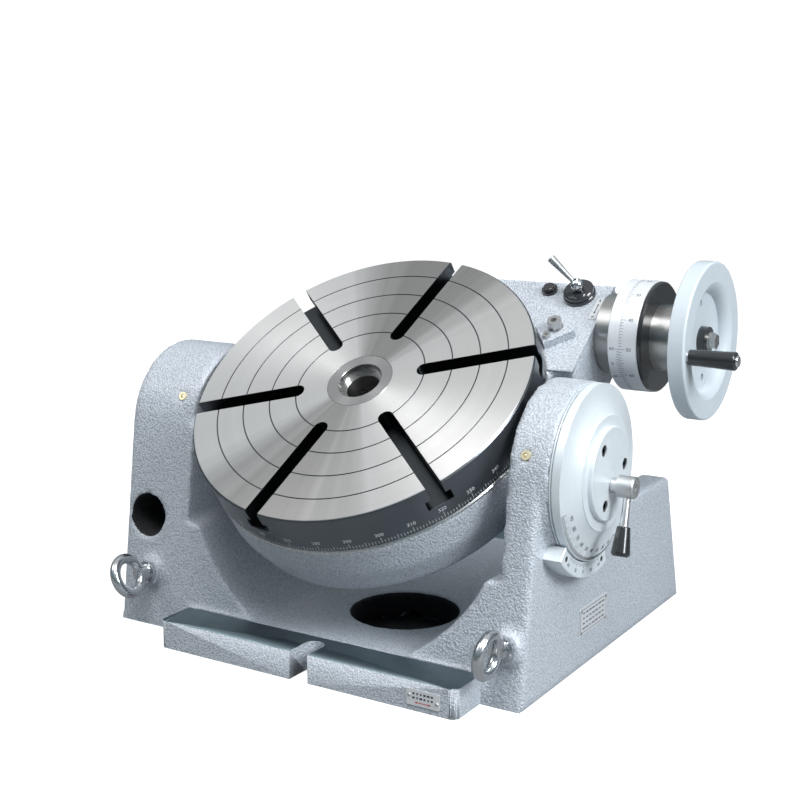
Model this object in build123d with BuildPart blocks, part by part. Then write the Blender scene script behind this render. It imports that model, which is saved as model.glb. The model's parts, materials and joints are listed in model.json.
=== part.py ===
from build123d import *
import os
from math import asin, atan2, cos, radians, sin, sqrt

# Tilting rotary table, 320 mm class: a base casting with two cheeks carries a cradle on
# trunnions, the cradle carries the round T-slotted table, and a worm with a handwheel turns it.
# Millimetres. Origin: underside of the base, straight below the trunnion axis.
# +X runs along the trunnions towards the handwheel, -Y is the front, +Z is up.

# ---- driving dimensions ----
tilt = 37                  # table tilt as drawn; the table is level at 0 and upright at 90
trunnion_height = 183
axis_offset = 5            # the table axis stands this far up the slope from the trunnion axis
table_radius = 160
table_top = 77             # above the trunnion plane, along the table axis
table_underside = 37
slot_width = 14
slot_count = 6
slot_phase = 20.5
slot_tip_radius = 53
head_radius = 76
cheek_inner = 165
right_outer = 193
boss_face = 201            # of the raised boss behind the tilt dial
dial_boss_radius = 75.8
u_slot_length = 23
left_outer = 240
foot_front = -100
foot_rear = 252
shelf_rear = 215
shelf_height = 130
web_height = 102
floor_height = 26
trough_radius = 167
trough_centre_height = 173
flange_half_width = 155
flange_front = -140
flange_rear = 292
flange_height = 25.5
u_slot_width = 19
worm_reach = 150           # worm axis from the table axis
worm_level = 8             # worm axis above the trunnion plane
worm_teeth = 90
tilt_teeth = 60
tilt_worm_height = 103
tilt_worm_x = -214
shaft_radius = 14
trunnion_radius = 28
dial_radius = 50
wheel_radius = 70
running = 0.03             # radial clearance of a running fit
gap = 0.3                  # clearance between faces that pass each other

# ---- frames ----
table_frame = Plane(
    origin=(0, axis_offset * cos(radians(tilt)), trunnion_height + axis_offset * sin(radians(tilt))),
    x_dir=(1, 0, 0),
    z_dir=(0, -sin(radians(tilt)), cos(radians(tilt))),
)


def level(n):
    """Plane parallel to the table top, n above the trunnion plane."""
    return table_frame.offset(n)


def across(u, v=0.0, n=0.0):
    """Plane facing +X in the cradle's frame, at width u, up-slope v and level n."""
    return Plane(origin=table_frame.from_local_coords(Vector(u, v, n)),
                 x_dir=table_frame.y_dir, z_dir=(1, 0, 0))


def trunnion(x):
    """Plane facing +X on the trunnion axis."""
    return Plane(origin=(x, 0, trunnion_height), x_dir=(0, 1, 0), z_dir=(1, 0, 0))


def worm_line(u):
    """Plane facing +X on the worm axis."""
    return across(u, worm_reach, worm_level)


def save(piece, label):
    """Label a finished piece and write it."""
    piece.part.label = label
    export_step(piece.part, f"parts/{label}.step")


def turned(plane, steps, bore=0.0, edge=0.4):
    """Turned piece along a plane's normal: steps are (start, end, radius), with one bore."""
    with BuildPart() as piece:
        for start, end, radius in steps:
            with BuildSketch(plane.offset(start)):
                Circle(radius)
            extrude(amount=end - start)
        if bore:
            with BuildSketch(plane.offset(steps[0][0])):
                Circle(bore)
            extrude(amount=steps[-1][1] - steps[0][0], mode=Mode.SUBTRACT)
        if edge:
            rims = piece.faces().filter_by(GeomType.PLANE).sort_by(Axis(plane.origin, plane.z_dir))
            outer = [face.outer_wire().edges() for face in (rims[0], rims[-1])]
            chamfer([e for group in outer for e in group], edge)
    return piece


def cap_screws(places, head, stem, head_height, stem_length, key):
    """Socket cap screws at the given planes; each plane lies under the head and faces out."""
    with BuildPart() as screws:
        for place in places:
            with BuildSketch(place):
                Circle(head)
            extrude(amount=head_height)
            with BuildSketch(place):
                Circle(stem)
            extrude(amount=-stem_length)
            with BuildSketch(place.offset(head_height)):
                RegularPolygon(key, 6)
            extrude(amount=-head_height * 0.6, mode=Mode.SUBTRACT)
    return screws


os.makedirs("parts", exist_ok=True)

# ---- base casting ----
foot_to_axis = sqrt(foot_front ** 2 + trunnion_height ** 2)
front_angle = atan2(trunnion_height, -foot_front) + asin(head_radius / foot_to_axis)
front_run = sqrt(foot_to_axis ** 2 - head_radius ** 2)
front_tangent = (foot_front + front_run * cos(front_angle), front_run * sin(front_angle))
head_rear = sqrt(head_radius ** 2 - (trunnion_height - shelf_height) ** 2)
rear_lean = (foot_rear - shelf_rear) / shelf_height
tilt_wheel_radius = 60
cover_radius = 72
cover_screw_circle = 67
cavity_radius = 63
cavity_inner = -196
eye_height = 51
eye_places = (-204, 176)
boss_reach = 7
boss_radius = 13
oiler_places = ((-183, 152), (179, 161))   # width, angle on the head from +Y
oiler_radius = 4
oiler_depth = 5
floor_opening = (20, 2)
floor_opening_radius = 50
pocket_reach = 80            # lightening pockets underneath: middle, size and depth
pocket_middle = 160
pocket_size = (110, 150)
pocket_depth = 12
drive_bore = 20              # bore for the tilt worm, open at the front
drive_bore_depth = 230


def oiler_plane(x, angle):
    """Plane on a cheek's round head at a width and an angle from +Y, facing out."""
    outward = Vector(0, cos(radians(angle)), sin(radians(angle)))
    return Plane(origin=Vector(x, 0, trunnion_height) + outward * (head_radius - 0.6),
                 x_dir=(1, 0, 0), z_dir=outward)


def front_face(x, z):
    """Point of the cheeks' sloping front face at width x and height z."""
    return (x, foot_front + z / sin(front_angle) * cos(front_angle), z)


def front_plane(x, z):
    """Plane on the front face, facing out."""
    return Plane(origin=front_face(x, z), x_dir=(1, 0, 0),
                 z_dir=(0, -sin(front_angle), cos(front_angle)))


with BuildPart() as base_casting:
    # bed between the cheeks, with the trough that the cradle swings through
    with BuildSketch(Plane.YZ):
        with BuildLine():
            Polyline((foot_front, 0), front_face(0, web_height)[1:],
                     (foot_rear - rear_lean * web_height, web_height), (foot_rear, 0), close=True)
        make_face()
    extrude(amount=cheek_inner, both=True)
    with BuildSketch(Plane.XZ):
        with Locations((0, trough_centre_height)):
            Circle(trough_radius)
        with Locations((0, floor_height)):
            Rectangle(4 * trough_radius, trough_radius, align=(Align.CENTER, Align.MAX),
                      mode=Mode.SUBTRACT)
    extrude(amount=2 * foot_rear, both=True, mode=Mode.SUBTRACT)
    # cheeks with round heads and a shelf behind each head
    for inner, outer in ((cheek_inner, right_outer), (-cheek_inner, -left_outer)):
        with BuildSketch(Plane.YZ.offset(inner)):
            with BuildLine():
                Polyline((foot_front, 0), front_tangent, (0, trunnion_height),
                         (head_rear, shelf_height), (shelf_rear, shelf_height), (foot_rear, 0),
                         close=True)
            make_face()
            with Locations((0, trunnion_height)):
                Circle(head_radius)
            fillet(vertices().sort_by_distance((head_rear, shelf_height, 0))[0], 12)
        extrude(amount=outer - inner)
    for side in (0, -1):
        rim = base_casting.faces().filter_by(Axis.X).sort_by(Axis.X)[side]
        fillet([e for e in rim.edges() if e.center().Z > 1], 3.5)
    with BuildSketch(trunnion(right_outer)):
        Circle(dial_boss_radius)
    extrude(amount=boss_face - right_outer)
    # machined clamping flanges with a U slot each, and the underside keyway
    for near, far in ((flange_front, foot_front + 6), (flange_rear, foot_rear - 6)):
        with BuildSketch():
            with Locations((0, (near + far) / 2)):
                RectangleRounded(2 * flange_half_width, abs(far - near), 7)
            with Locations((0, far)):
                Rectangle(2 * flange_half_width, 20)
        extrude(amount=flange_height)
    # bosses for the lifting eyes
    for x in eye_places:
        with BuildSketch(front_plane(x, eye_height).offset(boss_reach)):
            Circle(boss_radius)
        extrude(amount=-2 * boss_reach, taper=-12)
    # openings: U slots, keyway, floor opening, lightening pocket underneath
    for mouth, end in ((flange_front, flange_front + u_slot_length),
                       (flange_rear, flange_rear - u_slot_length)):
        with BuildSketch():
            with Locations((0, end)):
                Circle(u_slot_width / 2)
            with Locations((0, (mouth + end) / 2)):
                Rectangle(u_slot_width, abs(mouth - end))
        extrude(amount=flange_height, mode=Mode.SUBTRACT)
    with BuildSketch():
        with Locations((0, (flange_front + flange_rear) / 2)):
            Rectangle(18, flange_rear - flange_front)
    extrude(amount=6, mode=Mode.SUBTRACT)
    with BuildSketch():
        with Locations((-pocket_reach, pocket_middle), (pocket_reach, pocket_middle)):
            RectangleRounded(*pocket_size, 14)
    extrude(amount=pocket_depth, mode=Mode.SUBTRACT)
    with BuildSketch():
        with Locations(floor_opening):
            Circle(floor_opening_radius)
    extrude(amount=floor_height, mode=Mode.SUBTRACT)
    # trunnion bores and the tilt drive's chamber in the left cheek
    with BuildSketch(trunnion(cheek_inner)):
        Circle(34)
    extrude(amount=boss_face - cheek_inner, mode=Mode.SUBTRACT)
    with BuildSketch(trunnion(-cheek_inner)):
        Circle(34)
    extrude(amount=-(left_outer - cheek_inner), mode=Mode.SUBTRACT)
    with BuildSketch(trunnion(cavity_inner)):
        Circle(cavity_radius)
    extrude(amount=-(left_outer + cavity_inner), mode=Mode.SUBTRACT)
    with BuildSketch(trunnion(-left_outer + 8)):
        Circle(cover_radius + gap)
    extrude(amount=-8, mode=Mode.SUBTRACT)
    with BuildSketch(trunnion(-left_outer)):
        with PolarLocations(cover_screw_circle, 6):
            Circle(2.2)
    extrude(amount=22, mode=Mode.SUBTRACT)
    with BuildSketch(Plane(origin=(tilt_worm_x, -130, tilt_worm_height), x_dir=(1, 0, 0),
                           z_dir=(0, 1, 0))):
        Circle(drive_bore)
    extrude(amount=drive_bore_depth, mode=Mode.SUBTRACT)
    # oiler sockets and the threaded sockets of the lifting eyes
    for x, angle in oiler_places:
        with BuildSketch(oiler_plane(x, angle).offset(5)):
            Circle(oiler_radius)
        extrude(amount=-5 - oiler_depth, mode=Mode.SUBTRACT)
    for x in eye_places:
        with BuildSketch(front_plane(x, eye_height).offset(boss_reach)):
            Circle(5)
        extrude(amount=-24, mode=Mode.SUBTRACT)
save(base_casting, "base_casting")

# ---- lifting eyes ----
eye_ring = 16.5
eye_bar = 4.8
with BuildPart() as lifting_eyes:
    for x, turn in zip(eye_places, (24, -6)):
        seat = front_plane(x, eye_height).offset(boss_reach)
        with BuildSketch(seat):
            Circle(10.5)
        extrude(amount=4)
        with BuildSketch(seat):
            Circle(4.97)
        extrude(amount=-20)
        with BuildSketch(seat.offset(4)):
            Circle(8)
        extrude(amount=9, taper=8)
        spin = Plane(origin=seat.offset(13 + eye_ring - 3).origin, x_dir=seat.z_dir,
                     z_dir=Vector(1, 0, 0).rotate(Axis((0, 0, 0), seat.z_dir), turn))
        with BuildSketch(Plane(origin=spin.origin, x_dir=spin.x_dir, z_dir=spin.y_dir)):
            with Locations((eye_ring, 0)):
                Circle(eye_bar)
        revolve(axis=Axis(spin.origin, spin.z_dir))
save(lifting_eyes, "lifting_eyes")

# ---- small fittings on the base ----
with BuildPart() as cheek_oilers:
    for x, angle in oiler_places:
        seat = oiler_plane(x, angle)
        with BuildSketch(seat.offset(-oiler_depth)):
            Circle(oiler_radius)
        extrude(amount=oiler_depth + 1.2)
        with BuildSketch(seat.offset(1.2)):
            Circle(2)
        extrude(amount=-2.5, mode=Mode.SUBTRACT)
        with Locations(seat.offset(-0.6).location):
            Sphere(1.9)
save(cheek_oilers, "cheek_oilers")


def plate(plane, width, height, thickness, rivets, hole):
    """Thin plate with rivet holes, lying on a plane."""
    with BuildPart() as piece:
        with BuildSketch(plane):
            RectangleRounded(width, height, 1.2)
            with Locations(*rivets):
                Circle(hole, mode=Mode.SUBTRACT)
        extrude(amount=thickness)
    return piece


def rivet_set(plane, places, head, stem, depth):
    """Round-headed drive rivets standing on a plane."""
    with BuildPart() as piece:
        for place in places:
            with BuildSketch(plane):
                with Locations(place):
                    Circle(head)
            extrude(amount=0.9, taper=25)
            with BuildSketch(plane):
                with Locations(place):
                    Circle(stem)
            extrude(amount=-depth)
    return piece


name_plane = Plane(origin=(right_outer, 38, 43), x_dir=(0, 1, 0), z_dir=(1, 0, 0))
name_rivets = [(x, y) for x in (-26, 26) for y in (-10, 10)]
name_plate = plate(name_plane, 58, 25, 0.8, name_rivets, 1.0)
save(name_plate, "name_plate")
name_plate_rivets = rivet_set(name_plane.offset(0.8), name_rivets, 1.6, 0.95, 0.8)
save(name_plate_rivets, "name_plate_rivets")

direction_plane = Plane(origin=(124.5, flange_front, 12), x_dir=(1, 0, 0), z_dir=(0, -1, 0))
direction_rivets = [(-13, 1.5), (13, -1.5)]
direction_plate = plate(direction_plane, 31, 14, 0.8, direction_rivets, 1.0)
save(direction_plate, "direction_plate")
direction_plate_rivets = rivet_set(direction_plane.offset(0.8), direction_rivets, 1.6, 0.95, 0.8)
save(direction_plate_rivets, "direction_plate_rivets")

# ---- trunnions, bushes and the left end cover ----
right_bush = turned(trunnion(cheek_inner), [(0, 28, 34)], bore=trunnion_radius)
save(right_bush, "right_bush")
left_bush = turned(trunnion(cavity_inner), [(0, 31, 34)], bore=trunnion_radius)
save(left_bush, "left_bush")

clamp_place = (2, -10)        # clamp lever's stud from the trunnion axis: rearward, up
clamp_stud_radius = 5
dial_screw_circle = 28
pad_face = cheek_inner - 1.0
trunnion_face = boss_face + 3
clamp_stud_depth = 16
spigot_radius = 20
with BuildPart() as right_trunnion:
    with BuildSketch(trunnion(pad_face)):
        Circle(trunnion_radius - running)
    extrude(amount=trunnion_face - pad_face)
    with BuildSketch(trunnion(pad_face - 26)):
        Circle(spigot_radius)
    extrude(amount=26)
    chamfer(right_trunnion.faces().sort_by(Axis.X)[0].edges(), 1)
    with BuildSketch(trunnion(trunnion_face)):
        with Locations(clamp_place):
            Circle(clamp_stud_radius)
    extrude(amount=-clamp_stud_depth, mode=Mode.SUBTRACT)
save(right_trunnion, "right_trunnion")

tilt_wheel_start = -228
tilt_wheel_width = 28
with BuildPart() as left_trunnion:
    with BuildSketch(trunnion(cavity_inner)):
        Circle(trunnion_radius - running)
    extrude(amount=-cavity_inner - pad_face)
    with BuildSketch(trunnion(tilt_wheel_start)):
        Circle(20)
    extrude(amount=cavity_inner - tilt_wheel_start)
    with BuildSketch(trunnion(-pad_face)):
        Circle(spigot_radius)
    extrude(amount=26)
    chamfer(left_trunnion.faces().sort_by(Axis.X)[0].edges(), 1)
save(left_trunnion, "left_trunnion")

with BuildPart() as left_end_cover:
    with BuildSketch(trunnion(-left_outer)):
        Circle(cover_radius)
    extrude(amount=8)
    with BuildSketch(trunnion(-left_outer)):
        with PolarLocations(cover_screw_circle, 6):
            Circle(2.25)
    extrude(amount=8, mode=Mode.SUBTRACT)
    with BuildSketch(trunnion(-left_outer)):
        with PolarLocations(cover_screw_circle, 6):
            Circle(3.7)
    extrude(amount=4.4, mode=Mode.SUBTRACT)
    with BuildSketch(trunnion(-left_outer)):
        Circle(46)
        Circle(38, mode=Mode.SUBTRACT)
    extrude(amount=1.2, mode=Mode.SUBTRACT)
    chamfer(left_end_cover.faces().sort_by(Axis.X)[0].outer_wire().edges(), 0.5)
save(left_end_cover, "left_end_cover")


def around(plane, radius, count, start=0.0):
    """Planes on a circle about a plane's axis, facing as the plane does."""
    places = []
    for k in range(count):
        angle = radians(start + 360 * k / count)
        origin = plane.from_local_coords(Vector(radius * cos(angle), radius * sin(angle), 0))
        places.append(Plane(origin=origin, x_dir=plane.x_dir, z_dir=plane.z_dir))
    return places


cover_seat = Plane(origin=(-left_outer + 4.4, 0, trunnion_height), x_dir=(0, -1, 0),
                   z_dir=(-1, 0, 0))
left_cover_screws = cap_screws(around(cover_seat, cover_screw_circle, 6), 3.5, 2.0, 4.0, 14, 1.7)
save(left_cover_screws, "left_cover_screws")

# ---- tilt worm drive inside the left cheek ----


def toothed(plane, start, end, tip, root, teeth, bore):
    """Wheel whose teeth are straight gashes cut in the rim, along a plane's normal."""
    with BuildPart() as piece:
        with BuildSketch(plane.offset(start)):
            Circle(tip)
            Circle(bore, mode=Mode.SUBTRACT)
            with PolarLocations(tip, teeth):
                Trapezoid((tip - root) * 2, 0.0036 * tip * 360 / teeth * 1.5, 68,
                          rotation=90, mode=Mode.SUBTRACT)
        extrude(amount=end - start)
    return piece


tilt_wheel = toothed(trunnion(0), tilt_wheel_start, tilt_wheel_start + tilt_wheel_width,
                     tilt_wheel_radius, tilt_wheel_radius - 3.6, tilt_teeth, 20)
save(tilt_wheel, "tilt_wheel")

tilt_worm_radius = trunnion_height - tilt_worm_height - tilt_wheel_radius - 0.4
tilt_worm_line = Plane(origin=(tilt_worm_x, 0, tilt_worm_height), x_dir=(1, 0, 0),
                       z_dir=(0, 1, 0))
tilt_worm_journal = 9
tilt_worm_start = -46
square_length = 14
square_width = 11


def ridges(start, end, tip, pitch):
    """Steps (start, end, radius) of a worm's thread drawn as parallel ridges."""
    count = int((end - start) / pitch)
    first = (start + end - (count - 1) * pitch) / 2
    steps = []
    for k in range(count):
        middle = first + k * pitch
        steps.append((middle - 0.3 * pitch, middle + 0.3 * pitch, tip - 0.22 * pitch))
        steps.append((middle - 0.15 * pitch, middle + 0.15 * pitch, tip))
    return steps


with BuildPart() as tilt_worm:
    for start, end, radius in [(-30, 30, tilt_worm_radius - 4.5), (tilt_worm_start, 82, tilt_worm_journal),
                               *ridges(-28, 28, tilt_worm_radius, 6.28)]:
        with BuildSketch(tilt_worm_line.offset(start)):
            Circle(radius)
        extrude(amount=end - start)
    with BuildSketch(tilt_worm_line.offset(tilt_worm_start - square_length)):
        Rectangle(square_width, square_width)
    extrude(amount=square_length)
save(tilt_worm, "tilt_worm")
tilt_front_bush = turned(tilt_worm_line, [(-45, -32, drive_bore)],
                         bore=tilt_worm_journal + running)
save(tilt_front_bush, "tilt_front_bush")
tilt_rear_bush = turned(tilt_worm_line, [(34, 84, drive_bore)],
                        bore=tilt_worm_journal + running)
save(tilt_rear_bush, "tilt_rear_bush")

# ---- cradle casting: round body, trunnion pads and worm housing ----
body_radius = 160
body_top = table_underside - gap
body_bottom = -32
hub_bore = 45
hub_top = 30
ring_cavity_inner = 90
ring_cavity_outer = 133
housing_left = -95
housing_right = 167
housing_rear = 184
housing_front = 72
housing_bottom = -36
worm_bore = 24
sleeve_radius = 25
sleeve_flange_radius = 36
sleeve_start = 142
with BuildPart() as cradle_casting:
    with BuildSketch(Plane(origin=table_frame.origin, x_dir=(1, 0, 0),
                           z_dir=-table_frame.y_dir)):
        with BuildLine():
            Polyline((0, body_top), (body_radius - 1.2, body_top), (body_radius, body_top - 1.2),
                     (body_radius, 4), (body_radius - 6, -18))
            RadiusArc((body_radius - 6, -18), (body_radius - 22, body_bottom), 15)
            Polyline((body_radius - 22, body_bottom), (0, body_bottom), (0, body_top))
        make_face()
    revolve(axis=Axis(table_frame.origin, table_frame.z_dir))
    # worm housing across the back
    with BuildSketch(across(housing_left)):
        with Locations(((housing_front + housing_rear) / 2, (housing_bottom + body_top) / 2)):
            Rectangle(housing_rear - housing_front, body_top - housing_bottom)
        fillet(vertices().sort_by(Axis.Y)[:2], 22)
        chamfer(vertices().sort_by(Axis.Y)[-2:].sort_by(Axis.X)[-1], 3)
    extrude(amount=housing_right - housing_left)
    # trunnion pads
    for side in (1, -1):
        with BuildSketch(trunnion(side * pad_face)):
            Circle(54)
        extrude(amount=-side * 60)
    with BuildSketch(level(body_top)):
        Rectangle(3 * body_radius, 3 * body_radius)
    extrude(amount=40, mode=Mode.SUBTRACT)
    # room for the right cheek's head
    with BuildSketch(trunnion(158)):
        Circle(head_radius + 5)
        Circle(54, mode=Mode.SUBTRACT)
    extrude(amount=20, mode=Mode.SUBTRACT)
    # spindle bore, worm wheel chamber, worm bore and sleeve bore
    with BuildSketch(level(body_bottom)):
        Circle(hub_bore)
    extrude(amount=body_top - body_bottom, mode=Mode.SUBTRACT)
    with BuildSketch(level(-14)):
        Circle(ring_cavity_outer)
        Circle(ring_cavity_inner, mode=Mode.SUBTRACT)
    extrude(amount=body_top + 14, mode=Mode.SUBTRACT)
    with BuildSketch(level(hub_top)):
        Circle(ring_cavity_inner)
    extrude(amount=body_top - hub_top, mode=Mode.SUBTRACT)
    with BuildSketch(worm_line(-76)):
        Circle(worm_bore)
    extrude(amount=housing_right + 76, mode=Mode.SUBTRACT)
    with BuildSketch(worm_line(housing_left)):
        Circle(15)
    extrude(amount=30, mode=Mode.SUBTRACT)
    with BuildSketch(worm_line(sleeve_start)):
        Circle(sleeve_radius)
    extrude(amount=housing_right - sleeve_start, mode=Mode.SUBTRACT)
    # trunnion spigot sockets and bottom cover screw holes
    for x, way in ((pad_face, -1), (-pad_face, 1)):
        with BuildSketch(trunnion(x)):
            Circle(spigot_radius)
        extrude(amount=way * 27, mode=Mode.SUBTRACT)
    with BuildSketch(level(body_bottom)):
        with PolarLocations(59.5, 4, start_angle=45):
            Circle(2.1)
    extrude(amount=14, mode=Mode.SUBTRACT)
save(cradle_casting, "cradle_casting")

# ---- cradle fittings underneath and at the worm's ends ----
with BuildPart() as bottom_cover:
    with BuildSketch(level(body_bottom)):
        Circle(66)
    extrude(amount=-4)
    with BuildSketch(level(body_bottom)):
        Circle(53)
    extrude(amount=-22)
    fillet(bottom_cover.edges().filter_by(GeomType.CIRCLE).sort_by(Axis(
        table_frame.origin, table_frame.z_dir))[0], 3)
    with BuildSketch(level(body_bottom)):
        Circle(49)
    extrude(amount=-18, mode=Mode.SUBTRACT)
    with BuildSketch(level(body_bottom)):
        with PolarLocations(59.5, 4, start_angle=45):
            Circle(2.3)
    extrude(amount=-4, mode=Mode.SUBTRACT)
save(bottom_cover, "bottom_cover")
cover_down = Plane(origin=level(body_bottom - 4).origin, x_dir=(1, 0, 0),
                   z_dir=-table_frame.z_dir)
bottom_cover_screws = cap_screws(around(cover_down, 59.5, 4, 45), 3.5, 2.0, 4.0, 14, 1.7)
save(bottom_cover_screws, "bottom_cover_screws")

worm_end_cap = turned(worm_line(housing_left), [(-5, 0, 20), (0, 8, 14.9)], edge=0.8)
save(worm_end_cap, "worm_end_cap")

with BuildPart() as oil_plug:
    with BuildSketch(level(body_top)):
        with Locations((107, 170)):
            Circle(7.5)
    extrude(amount=2.5)
    with BuildSketch(level(body_top + 2.5)):
        with Locations((107, 170)):
            Circle(5.5)
    extrude(amount=3.5)
    fillet(oil_plug.edges().sort_by(Axis(table_frame.origin, table_frame.z_dir))[-1], 1.2)
save(oil_plug, "oil_plug")

arrow_plane = Plane(origin=table_frame.from_local_coords(Vector(161, 150, body_top)),
                    x_dir=table_frame.y_dir, z_dir=table_frame.z_dir)
arrow_rivets = [(-10.5, 0), (10.5, 0)]
arrow_plate = plate(arrow_plane, 26, 6.5, 0.8, arrow_rivets, 0.9)
save(arrow_plate, "arrow_plate")
arrow_plate_rivets = rivet_set(arrow_plane.offset(0.8), arrow_rivets, 1.4, 0.85, 0.8)
save(arrow_plate_rivets, "arrow_plate_rivets")

# ---- table clamp beside the rim ----
clamp_angle = 40
clamp_reach = 177
clamp_x = clamp_reach * cos(radians(clamp_angle))
clamp_v = clamp_reach * sin(radians(clamp_angle))
clamp_plane = Plane(origin=table_frame.from_local_coords(Vector(clamp_x, clamp_v, body_top)),
                    x_dir=table_frame.x_dir.rotate(Axis((0, 0, 0), table_frame.z_dir),
                                                   clamp_angle),
                    z_dir=table_frame.z_dir)
clamp_height = 9
with BuildPart() as table_clamp_block:
    with BuildSketch(clamp_plane):
        Rectangle(30, 24)
    extrude(amount=clamp_height)
    chamfer(table_clamp_block.faces().sort_by(Axis(table_frame.origin, table_frame.z_dir))[-1]
            .edges(), 1)
    with BuildSketch(clamp_plane):
        with Locations((2, 0)):
            Circle(4.1)
    extrude(amount=clamp_height, mode=Mode.SUBTRACT)
    with BuildSketch(clamp_plane):
        with Locations((-9, -7)):
            Circle(2.3)
    extrude(amount=clamp_height, mode=Mode.SUBTRACT)
save(table_clamp_block, "table_clamp_block")

screw_plane = Plane(origin=clamp_plane.from_local_coords(Vector(2, 0, clamp_height)),
                    x_dir=clamp_plane.x_dir, z_dir=clamp_plane.z_dir)
with BuildPart() as table_clamp_screw:
    with BuildSketch(screw_plane.offset(0.1)):
        Circle(6.8)
    extrude(amount=1)
    with BuildSketch(screw_plane.offset(1.1)):
        RegularPolygon(6.6, 6)
    extrude(amount=8)
    with BuildSketch(screw_plane.offset(9.1)):
        RegularPolygon(3, 6)
    extrude(amount=-4, mode=Mode.SUBTRACT)
    with BuildSketch(screw_plane.offset(0.1)):
        Circle(4.05)
    extrude(amount=-clamp_height)
save(table_clamp_screw, "table_clamp_screw")
clamp_pin_place = Plane(origin=clamp_plane.from_local_coords(Vector(-9, -7, clamp_height)),
                        x_dir=clamp_plane.x_dir, z_dir=clamp_plane.z_dir)
table_clamp_pin = cap_screws([clamp_pin_place], 3.6, 2.2, 3.2, clamp_height, 1.7)
save(table_clamp_pin, "table_clamp_pin")

# ---- worm engaging lever on top of the housing ----
lever_x = 139
lever_v = 166
lever_top = body_top
lever_plane = Plane(origin=table_frame.from_local_coords(Vector(lever_x, lever_v, lever_top)),
                    x_dir=(1, 0, 0), z_dir=table_frame.z_dir)
lever_base = turned(lever_plane, [(0, 4, 15)], bore=5 + running, edge=0.6)
save(lever_base, "lever_base")
lever_lean = Vector(-26, 13, 19).normalized()
lever_along = (table_frame.x_dir * lever_lean.X + table_frame.y_dir * lever_lean.Y
               + table_frame.z_dir * lever_lean.Z)
ball_radius = 6.2
ball_level = 13.5
with BuildPart() as engage_lever:
    with BuildSketch(lever_plane):
        Circle(5)
    extrude(amount=5)
    with BuildSketch(lever_plane.offset(4 + gap)):
        Circle(14)
    extrude(amount=4)
    chamfer(engage_lever.faces().sort_by(Axis(table_frame.origin, table_frame.z_dir))[-1]
            .edges(), 0.8)
    with BuildSketch(lever_plane.offset(8)):
        Circle(4.4)
    extrude(amount=3)
save(engage_lever, "engage_lever_disc")
ball_centre = lever_plane.offset(ball_level).origin
with BuildPart() as lever_ball:
    with Locations(Location(ball_centre)):
        Sphere(ball_radius)
    with BuildSketch(lever_plane):
        Circle(4.4)
    extrude(amount=11, mode=Mode.SUBTRACT)
    with BuildSketch(lever_plane.offset(ball_level + ball_radius)):
        RegularPolygon(2.6, 6)
    extrude(amount=-3.2, mode=Mode.SUBTRACT)
    with BuildSketch(Plane(origin=ball_centre, z_dir=lever_along)):
        Circle(2.2)
    extrude(amount=ball_radius + 1, mode=Mode.SUBTRACT)
save(lever_ball, "engage_lever_ball")
rod_plane = Plane(origin=ball_centre, z_dir=lever_along)
with BuildPart() as lever_rod:
    with BuildSketch(rod_plane.offset(0.5)):
        Circle(2.2)
    extrude(amount=8)
    with BuildSketch(rod_plane.offset(8.5)):
        Circle(2.2)
    with BuildSketch(rod_plane.offset(35)):
        Circle(4)
    loft()
    fillet(lever_rod.faces().sort_by(Axis(ball_centre, lever_along))[-1].edges(), 1)
save(lever_rod, "engage_lever_rod")

# ---- rotary table ----
engraved_radii = (136, 111, 85.7, 60.5)   # from the outside in
engraved_width = 1.2
engraved_depth = 0.8
spindle_radius = hub_bore - running
spindle_end = -40
sleeve_outer = 30.7
slot_neck_depth = 13
slot_depth = 23
slot_foot = 24
with BuildPart() as rotary_table:
    with BuildSketch(level(table_underside)):
        Circle(table_radius)
    extrude(amount=table_top - table_underside)
    with BuildSketch(level(body_bottom - 0.5)):
        Circle(spindle_radius)
    extrude(amount=table_underside - body_bottom + 0.5)
    with BuildSketch(level(spindle_end)):
        Circle(40)
    extrude(amount=body_bottom - spindle_end)
    chamfer(rotary_table.edges().filter_by(lambda e: e.geom_type == GeomType.CIRCLE
                                           and abs(e.radius - table_radius) < 0.1), 1.6)
    with BuildSketch(level(table_top)):
        with PolarLocations(0, slot_count, start_angle=slot_phase):
            with Locations((slot_tip_radius + slot_width / 2, 0)):
                Circle(slot_width / 2)
            with Locations(((slot_tip_radius + slot_width / 2 + table_radius) / 2 + 5, 0)):
                Rectangle(table_radius - slot_tip_radius - slot_width / 2 + 10, slot_width)
    extrude(amount=-slot_depth, mode=Mode.SUBTRACT)
    with BuildSketch(level(table_top - slot_neck_depth)):
        with PolarLocations(0, slot_count, start_angle=slot_phase):
            with Locations((slot_tip_radius + 7, 0)):
                Circle(slot_foot / 2)
            with Locations(((slot_tip_radius + 7 + table_radius) / 2 + 5, 0)):
                Rectangle(table_radius - slot_tip_radius - 7 + 10, slot_foot)
    extrude(amount=slot_neck_depth - slot_depth, mode=Mode.SUBTRACT)
    with BuildSketch(level(table_top)):
        for radius in engraved_radii:
            Circle(radius + engraved_width / 2)
            Circle(radius - engraved_width / 2, mode=Mode.SUBTRACT)
    extrude(amount=-engraved_depth, mode=Mode.SUBTRACT)
    with BuildSketch(level(spindle_end)):
        Circle(sleeve_outer)
    extrude(amount=table_top - spindle_end, mode=Mode.SUBTRACT)
    with BuildSketch(level(table_underside)):
        with PolarLocations(100, 6, start_angle=slot_phase + 30):
            Circle(3.1)
    extrude(amount=18, mode=Mode.SUBTRACT)
save(rotary_table, "rotary_table")

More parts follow.
